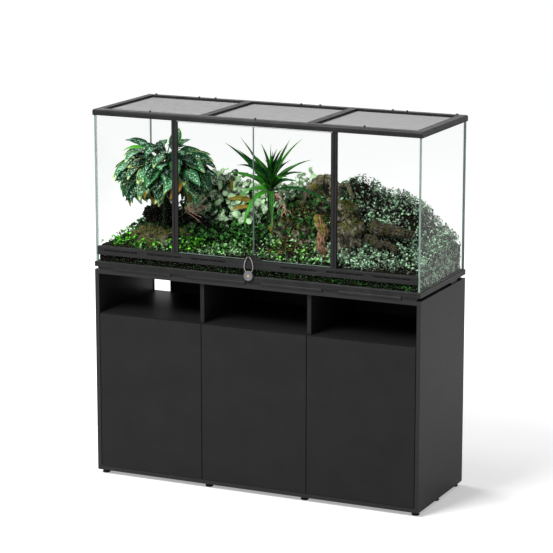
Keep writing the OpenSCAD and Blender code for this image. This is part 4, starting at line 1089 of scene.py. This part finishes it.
class TERRARIUM_OT_bush(Operator):
    """Grow the leafy bush"""
    bl_idname = "terrarium.bush"
    bl_label = "Leafy bush"

    CENTRE = np.array([-0.508, -0.07, 1.315])
    REACH = np.array([0.215, 0.145, 0.150])
    FOOT = np.array([-0.535, -0.02, 1.05])
    TO_LIGHT = np.array([0.25, -0.7, 0.65])

    def execute(self, context):
        rng = np.random.default_rng(41)
        n = plants(context).bush_leaves
        order = (np.arange(n) + 0.5) / n
        polar = np.radians(4 + 108 * order**0.64)
        turn = np.arange(n) * GOLDEN_ANGLE
        out = flat(np.sin(polar) * np.cos(turn), np.sin(polar) * np.sin(turn), np.cos(polar))
        down = flat(np.cos(polar) * np.cos(turn), np.cos(polar) * np.sin(turn), -np.sin(polar))
        shell = rng.uniform(0.2, 0.84, n)
        base = self.CENTRE + out * self.REACH * shell[:, None]
        length = rng.uniform(0.092, 0.125, n) * np.clip(0.6 + 7 * order, 0.6, 1)
        outwards = rng.uniform(0.6, 1.4, n)[:, None] * out
        ahead = unit(down + outwards + 0.36 * rng.normal(size=(n, 3)))
        up = unit(out + flat(0, 0, 0.5) + 0.38 * rng.normal(size=(n, 3)))
        bend = rng.uniform(0.3, 1.0, n)
        # painted shade: leaves deeper inside the bush get a darker tone
        tone = np.clip(rng.beta(1.5, 1.4, n) * (0.1 + 1.1 * (shell - 0.3) / 0.54), 0, 1)
        young = (rng.uniform(size=n) < 0.05) & (order < 0.5)
        old = (rng.uniform(size=n) < 0.08) & (order > 0.66)
        kinds = (("silver_leaf", ~young & ~old, 1), ("young_leaf", young, 0.62),
                 ("old_leaf", old, 1))
        parts = []
        for slot, (_, k, slim) in enumerate(kinds):
            width = length[k] * rng.uniform(0.42, 0.54, k.sum()) * slim
            leaves = leaf_sheets(base[k], ahead[k], up[k], length[k], width, (8, 5), bend[k], 0.22,
                                 "lance", tone[k], 0.03, self.TO_LIGHT)
            parts.append(in_slot(slot, held(leaves)))
        build("leafy_bush", parts, [leaf_material(name) for name, *_ in kinds],
              ["leaf_bush"])
        shown = np.linspace(0, n - 1, 60).astype(int)
        build("bush_stems", self.stems(base[shown], ahead[shown]), [leaf_material("green_stem")])
        return {"FINISHED"}

    def stems(self, base, ahead):
        """One trunk to the crown, and a thin stem from there to each of the leaves given."""
        crown = self.CENTRE - [0, 0, 0.07]
        trunk = [self.FOOT, (self.FOOT + crown) / 2 + [0, 0.01, 0], crown]
        stems = [tube(smooth_path(trunk, 20), np.linspace(0.011, 0.007, 20), 10)]
        for leaf, way in zip(base, ahead):
            path = smooth_path([crown, (crown + leaf) / 2 + [0, 0, 0.012], leaf + 0.01 * way], 10)
            stems.append(tube(path, np.linspace(0.0040, 0.0020, 10), 6))
        return stems


class TERRARIUM_OT_rosette(Operator):
    """Grow the rosette of long blades"""
    bl_idname = "terrarium.rosette"
    bl_label = "Rosette"

    CROWN = np.array([-0.052, 0.035, 1.25])
    TO_LIGHT = np.array([0.3, -0.9, 0.3])
    # where the long blades' tips end, and how far each bends
    TIPS = np.array([
        (-0.270, 0.05, 1.436, 0.5), (-0.160, -0.03, 1.478, 0.3), (0.076, 0.07, 1.472, 0.7),
        (0.325, -0.15, 1.225, 0.9), (-0.097, -0.11, 1.105, 1.9), (-0.190, 0.00, 1.420, 0.6),
        (0.044, -0.02, 1.418, 0.5), (-0.245, -0.02, 1.315, 1.1), (0.025, -0.12, 1.13, 1.9),
        (-0.045, 0.02, 1.455, 0.3), (0.115, 0.08, 1.385, 0.9), (-0.175, -0.02, 1.20, 1.8),
        (0.10, -0.07, 1.31, 1.2), (0.005, 0.10, 1.46, 0.4), (-0.10, -0.08, 1.36, 0.9)])

    def aimed(self, tips, bend):
        """Directions, normals and lengths of arcs from the crown that bend down and end at the
        tips: each starts half its bend above its chord."""
        chord = tips - self.CROWN
        along = unit(chord)
        over = unit(np.array([0, 0, 1.0]) - along[:, 2:] * along)
        half = bend[:, None] / 2
        length = np.linalg.norm(chord, axis=1) * (bend / 2) / np.sin(bend / 2)
        return (np.cos(half) * along + np.sin(half) * over,
                np.cos(half) * over - np.sin(half) * along, length)

    def execute(self, context):
        rng = np.random.default_rng(7)
        n = plants(context).blades
        order = (np.arange(n) + 0.5) / n
        turn = np.arange(n) * GOLDEN_ANGLE + 0.9
        lift = np.radians(80 - 68 * order)
        way = flat(np.cos(turn) * np.cos(lift), 0.7 * np.sin(turn) * np.cos(lift), np.sin(lift))
        tips = np.concatenate([self.TIPS[:, :3],
                               self.CROWN + way * rng.uniform(0.12, 0.21, n)[:, None]])
        bend = np.concatenate([self.TIPS[:, 3], rng.uniform(0.4, 0.9, n) + order])
        ahead, up, length = self.aimed(tips, bend)
        width = 0.021 * rng.uniform(0.85, 1.15, len(tips))
        blades = held(leaf_sheets(self.CROWN + 0.010 * ahead, ahead, up, length, width, (16, 5),
                                  bend, 0.35, "blade", rng.beta(1.3, 1.5, len(tips)),
                                  face=self.TO_LIGHT))
        foot = self.CROWN - [0, -0.01, 0.13]
        neck = tube(smooth_path([foot, (foot + self.CROWN) / 2, self.CROWN + [0, 0, 0.012]], 16),
                    np.linspace(0.02, 0.016, 16), 12, bark_ridges(3, 0.2, 7))
        build("blade_rosette_leaves", [blades, in_slot(1, neck)],
              [leaf_material("blade_leaf", 4.0), bark_material("neck", plants(context).bark)],
              ["blade_rosette"])
        return {"FINISHED"}


class TERRARIUM_OT_ground_cover(Operator):
    """Grow the creeping ground cover, the climbers on the bank and the bare twigs"""
    bl_idname = "terrarium.ground_cover"
    bl_label = "Ground cover"

    # the material of each kind of leaf in the order of the parts
    SLOTS = (0, 3, 1, 2, 1)
    # start and way of each fan of bare roots, its reach and how many it has
    FANS = (((-0.40, -0.09, 1.178), (1.0, -0.2, -0.05), 1.0, 10),
            ((0.0, -0.03, 1.255), (1.0, -0.3, -0.4), 0.6, 7),
            ((0.06, -0.07, 1.225), (0.4, -0.4, -1.0), 0.55, 6))

    def execute(self, context):
        settings = plants(context)
        rng = np.random.default_rng(19)
        half = settings.cover_leaves // 2
        parts = [self.carpet(rng, half, True), self.carpet(rng, half, False),
                 self.bank_leaves(rng, 4200), self.climbers(rng, settings.climber_leaves),
                 self.behind_low_pane(rng, 520)]
        build("creeping_leaves", [in_slot(*pair) for pair in zip(self.SLOTS, parts)],
              [leaf_material(f"{kind}_leaf") for kind in ("bright", "dark", "round", "cool")],
              ["creeping_plants"])
        build("bare_twigs", self.twigs(rng), [twig_material()])
        build("turning_leaves", [self.turning(rng)], [leaf_material("old_leaf")])
        return {"FINISHED"}

    def carpet(self, rng, count, bright):
        """Small leaves over the flat front in clumps, thinning to the back: bright ones at the
        left and in a few clumps, cooler ones elsewhere."""
        def thick(x, y):
            near = np.clip((0.02 - y) / 0.06, 0.15, 1) * np.clip((0.40 - x) / 0.12, 0.3, 1)
            sunny = np.clip((-0.36 - x) / 0.08 + 1.6 * rough(flat(x, y), 0.12, 2, 37), 0.05, 1)
            clumps = np.clip(0.7 + 1.3 * rough(flat(x, y), 0.05, 2, 91), 0.25, 1)
            return near * clumps * (sunny if bright else 1.05 - sunny)

        ground = scattered(rng, count, (-TANK_X + 0.004, TANK_FRONT + 0.003), (0.44, 0.06), thick)
        return small_leaves(rng, *ground, (0.008, 0.016), 0.7, 0.03 if bright else 0.022,
                            (2.0 if bright else 1.5, 1.1))

    def bank_leaves(self, rng, count):
        """Dark small leaves over the bank behind."""
        def thick(x, y):
            mossy = bump(x, y, 0.17, -0.03, 0.11, 0.07)
            return np.clip((y + 0.06) / 0.08, 0.3, 1) * (1 - 0.8 * mossy)

        bank = scattered(rng, count, (-0.72, -0.06), (0.30, 0.235), thick)
        return small_leaves(rng, *bank, (0.012, 0.026), 0.6, 0.04, (1.4, 1.4))

    def climbers(self, rng, count):
        """Round leaves that stand off the bank to the front and rise over its crest."""
        places, normals = scattered(rng, count, (-0.46, 0.06), (0.15, 0.21),
                                    lambda x, y: np.where(x < -0.1, 0.8, 1))
        n = len(places)
        stand = rng.uniform(0, 1, n)
        rise = np.where(places[:, 0] < -0.1, 0.062, 0.078) * stand
        base = places + normals * 0.015 + flat(0, -0.025 * stand, rise)
        up = unit(normals * 0.4 + flat(0, -0.8, 0.35) + 0.35 * rng.normal(size=(n, 3)))
        ahead = unit(np.cross(up, rng.normal(size=(n, 3))))
        size = rng.uniform(0.020, 0.036, n)
        # painted shade: the lower a leaf stands, the darker its tone
        return held(leaf_sheets(base, ahead, up, size, size * 0.88, (6, 5),
                                rng.uniform(0.3, 0.9, n), 0.15, "oval",
                                rng.beta(1.6, 1.1, n) * (0.35 + 0.65 * stand), 0.02))

    def behind_low_pane(self, rng, count):
        """Specks of leaf against the low pane, more of them to the right."""
        x = (rng.uniform(0, 1, count) ** 0.5 * 2 - 1) * (TANK_X - 0.01)
        at = flat(x, corners("soil_bed")[0][1] + 0.0012,
                  rng.uniform(GROUND + 0.004, BAR_UNDER - 0.004, count))
        ahead = unit(flat(rng.normal(size=count), 0.0, rng.normal(size=count)))
        size = rng.uniform(0.004, 0.010, count)
        return leaf_sheets(at, ahead, [0.0, -1, 0], size, size * 0.55, (4, 3), 0.1, 0.1, "oval",
                           rng.beta(0.6, 3.2, count))

    def twigs(self, rng):
        """Thin bare roots in fans, each root wandering a little on its way out."""
        parts = []
        for start, way, reach, count in self.FANS:
            for _ in range(count):
                course = unit(np.array(way) + 0.5 * rng.normal(size=3) * [1, 0.4, 1])
                length = reach * rng.uniform(0.06, 0.13)
                knots = np.array(start) + course * np.linspace(0, length, 4)[:, None]
                knots[1:] += rng.normal(size=(3, 3)) * 0.006
                parts.append(tube(smooth_path(knots, 12), np.linspace(0.0024, 0.0008, 12), 6))
        return parts

    def turning(self, rng):
        """A few broad leaves on the bank that turn orange."""
        base = np.array([(-0.125, 0.0, 1.212), (-0.13, 0.0, 1.187), (-0.235, 0.03, 1.24),
                         (-0.02, -0.05, 1.12)])
        ahead = np.array([(-1.0, -0.1, 0.2), (-1.0, -0.3, 0.0), (0.1, -0.3, 0.9),
                          (0.7, -0.6, -0.5)])
        length = np.array([0.12, 0.09, 0.06, 0.05])
        return held(leaf_sheets(base, ahead, [0.1, -0.6, 0.8], length, length * 0.3, (10, 5), 0.5,
                                0.25, "lance", rng.uniform(0, 1, len(base)), 0.03))


class TERRARIUM_OT_shrub(Operator):
    """Grow the mound of small-leaved shrub"""
    bl_idname = "terrarium.shrub"
    bl_label = "Shrub mound"

    def execute(self, context):
        rng = np.random.default_rng(77)

        def thick(x, y):
            gaps = 0.8 + 1.8 * rough(flat(x, y), 0.045, 2, 55)
            back = 0.8 * np.clip(y, 0, 0.1)
            return np.clip((x - 0.25 + back) / 0.10, 0.1, 1) * np.clip(gaps, 0.2, 1)

        slope = scattered(rng, plants(context).shrub_leaves, (0.20, TANK_FRONT + 0.003),
                          (TANK_X - 0.003, TANK_BACK - 0.004), thick)
        mound = small_leaves(rng, *slope, (0.007, 0.014), 0.64, 0.040, (1.1, 0.8))
        build("shrub_leaves", [mound, self.against_side_pane(rng, 1000)],
              [leaf_material("small_leaf")], ["shrub_mound"])
        return {"FINISHED"}

    def against_side_pane(self, rng, count):
        """Leaves pressed between the soil's right side and the pane."""
        y = rng.uniform(TANK_FRONT, TANK_BACK - 0.004, count)
        x = np.full(count, TANK_X - 0.0012)
        top = soil_height(x, y)
        z = GROUND + (top + 0.01 - GROUND) * rng.uniform(0, 1, count) ** 0.75
        up = unit(flat(1.0, 0.25 * rng.normal(size=count), 0.25 * rng.normal(size=count)))
        ahead = unit(np.cross(up, rng.normal(size=(count, 3))))
        size = rng.uniform(0.009, 0.018, count)
        return held(leaf_sheets(flat(x - 0.004, y, z), ahead, up, size, size * 0.6, (4, 3), 0.2,
                                0.1, "oval", rng.beta(0.9, 1.1, count)), 0.0004, 0.005)


class TERRARIUM_OT_stage(Operator):
    """Put up the floor, lamps, room light and camera"""
    bl_idname = "terrarium.stage"
    bl_label = "Stage"

    EYE = (4.257, -9.173, 3.108)
    TURN = (math.radians(77.659), 0.0, math.radians(24.947))
    AIM = (0.0, 0.0, 1.1)
    # place, size and share of the key lamp's power
    LAMPS = {"key": ((-1.0, -3.4, 4.2), 2.0, 1.0), "back": ((-3.4, 1.4, 3.6), 2.4, 0.4),
             "top": ((-0.2, -0.9, 4.6), 1.4, 0.2)}
    FLOOR = 60.0
    WHITE = (1, 1, 1, 1)

    def execute(self, context):
        settings = context.scene.terrarium_stage
        context.scene.view_settings.view_transform = "Standard"
        self.camera(context, settings.lens)
        self.floor()
        self.room(context, settings.fill)
        for name, (place, size, share) in self.LAMPS.items():
            self.lamp(name, place, size, settings.key * share)
        return {"FINISHED"}

    def put_up(self, name, data):
        """An object of that name in the scene."""
        item = bpy.data.objects.new(name, data)
        bpy.context.scene.collection.objects.link(item)
        return item

    def camera(self, context, lens):
        """The camera, which looks a little down at the front from the right."""
        camera = bpy.data.cameras.new("camera")
        camera.lens = lens
        camera.sensor_width = 36.0
        camera.clip_end = 200
        eye = self.put_up("camera", camera)
        eye.location = self.EYE
        eye.rotation_euler = self.TURN
        context.scene.camera = eye

    def floor(self):
        """A matt floor that glows for the eye, more with the distance from the object: the weaker
        glow near the object is a painted shadow round it.
        """
        s = Shader("studio_floor")
        matt = s.add("ShaderNodeBsdfDiffuse", Color=(0.8, 0.8, 0.8, 1))
        away = s.add("ShaderNodeVectorMath", Vector=s.place())
        away.operation = "LENGTH"
        # painted shadow: the glow is weaker near the object
        strength = s.times(s.seen_by_eye(), s.remap(away.outputs["Value"], 1.2, 2.9, 0.38, 0.72))
        glow = s.add("ShaderNodeEmission", Color=self.WHITE, Strength=strength)
        reach = self.FLOOR
        mesh = bpy.data.meshes.new("floor")
        mesh.from_pydata([(-reach, -reach, 0), (reach, -reach, 0), (reach, reach, 0),
                          (-reach, reach, 0)], [], [(0, 1, 2, 3)])
        mesh.materials.append(s.ended("ShaderNodeAddShader", matt.outputs[0], glow.outputs[0]))
        self.put_up("floor", mesh)

    def room(self, context, fill):
        """Even light of the fill's strength, which the eye sees as white."""
        s = Shader("room", "worlds")
        lights = [s.add("ShaderNodeBackground", Color=self.WHITE, Strength=strength).outputs[0]
                  for strength in (fill, 1.0)]
        context.scene.world = s.ended("ShaderNodeMixShader", s.seen_by_eye(), *lights)

    def lamp(self, name, place, size, power):
        """A square soft lamp aimed at the middle of the terrarium."""
        light = bpy.data.lights.new(name, "AREA")
        light.size = size
        light.energy = power
        lamp = self.put_up(name, light)
        lamp.location = place
        x, y, z = np.subtract(self.AIM, place)
        lamp.rotation_euler = (math.atan2(math.hypot(x, y), -z), 0, math.atan2(-x, y))


OPERATORS = (
    TERRARIUM_OT_stage, TERRARIUM_OT_cabinet, TERRARIUM_OT_rails, TERRARIUM_OT_glass,
    TERRARIUM_OT_screens, TERRARIUM_OT_padlock, TERRARIUM_OT_soil, TERRARIUM_OT_stones,
    TERRARIUM_OT_driftwood, TERRARIUM_OT_bush, TERRARIUM_OT_rosette, TERRARIUM_OT_ground_cover,
    TERRARIUM_OT_shrub,
)
SETTINGS = {
    "terrarium_finish": TerrariumFinish,
    "terrarium_planting": TerrariumPlanting,
    "terrarium_stage": TerrariumStage,
}


class TERRARIUM_PT_panel(Panel):
    """Lists the terrarium's operators and settings"""
    bl_idname = "TERRARIUM_PT_panel"
    bl_label = "Terrarium"
    bl_space_type = "VIEW_3D"
    bl_region_type = "UI"
    bl_category = "Terrarium"

    def draw(self, context):
        layout = self.layout
        for name in SETTINGS:
            group = getattr(context.scene, name)
            box = layout.box()
            for key in group.__annotations__:
                box.prop(group, key)
        for operator in OPERATORS:
            layout.operator(operator.bl_idname)


CLASSES = (*SETTINGS.values(), *OPERATORS, TERRARIUM_PT_panel)


def register():
    for cls in CLASSES:
        bpy.utils.register_class(cls)
    for name, cls in SETTINGS.items():
        setattr(bpy.types.Scene, name, PointerProperty(type=cls))


def unregister():
    for name in SETTINGS:
        delattr(bpy.types.Scene, name)
    for cls in reversed(CLASSES):
        bpy.utils.unregister_class(cls)


def main():
    register()
    for operator in OPERATORS:
        group, name = operator.bl_idname.split(".")
        getattr(getattr(bpy.ops, group), name)()


if __name__ == "__main__":
    main()
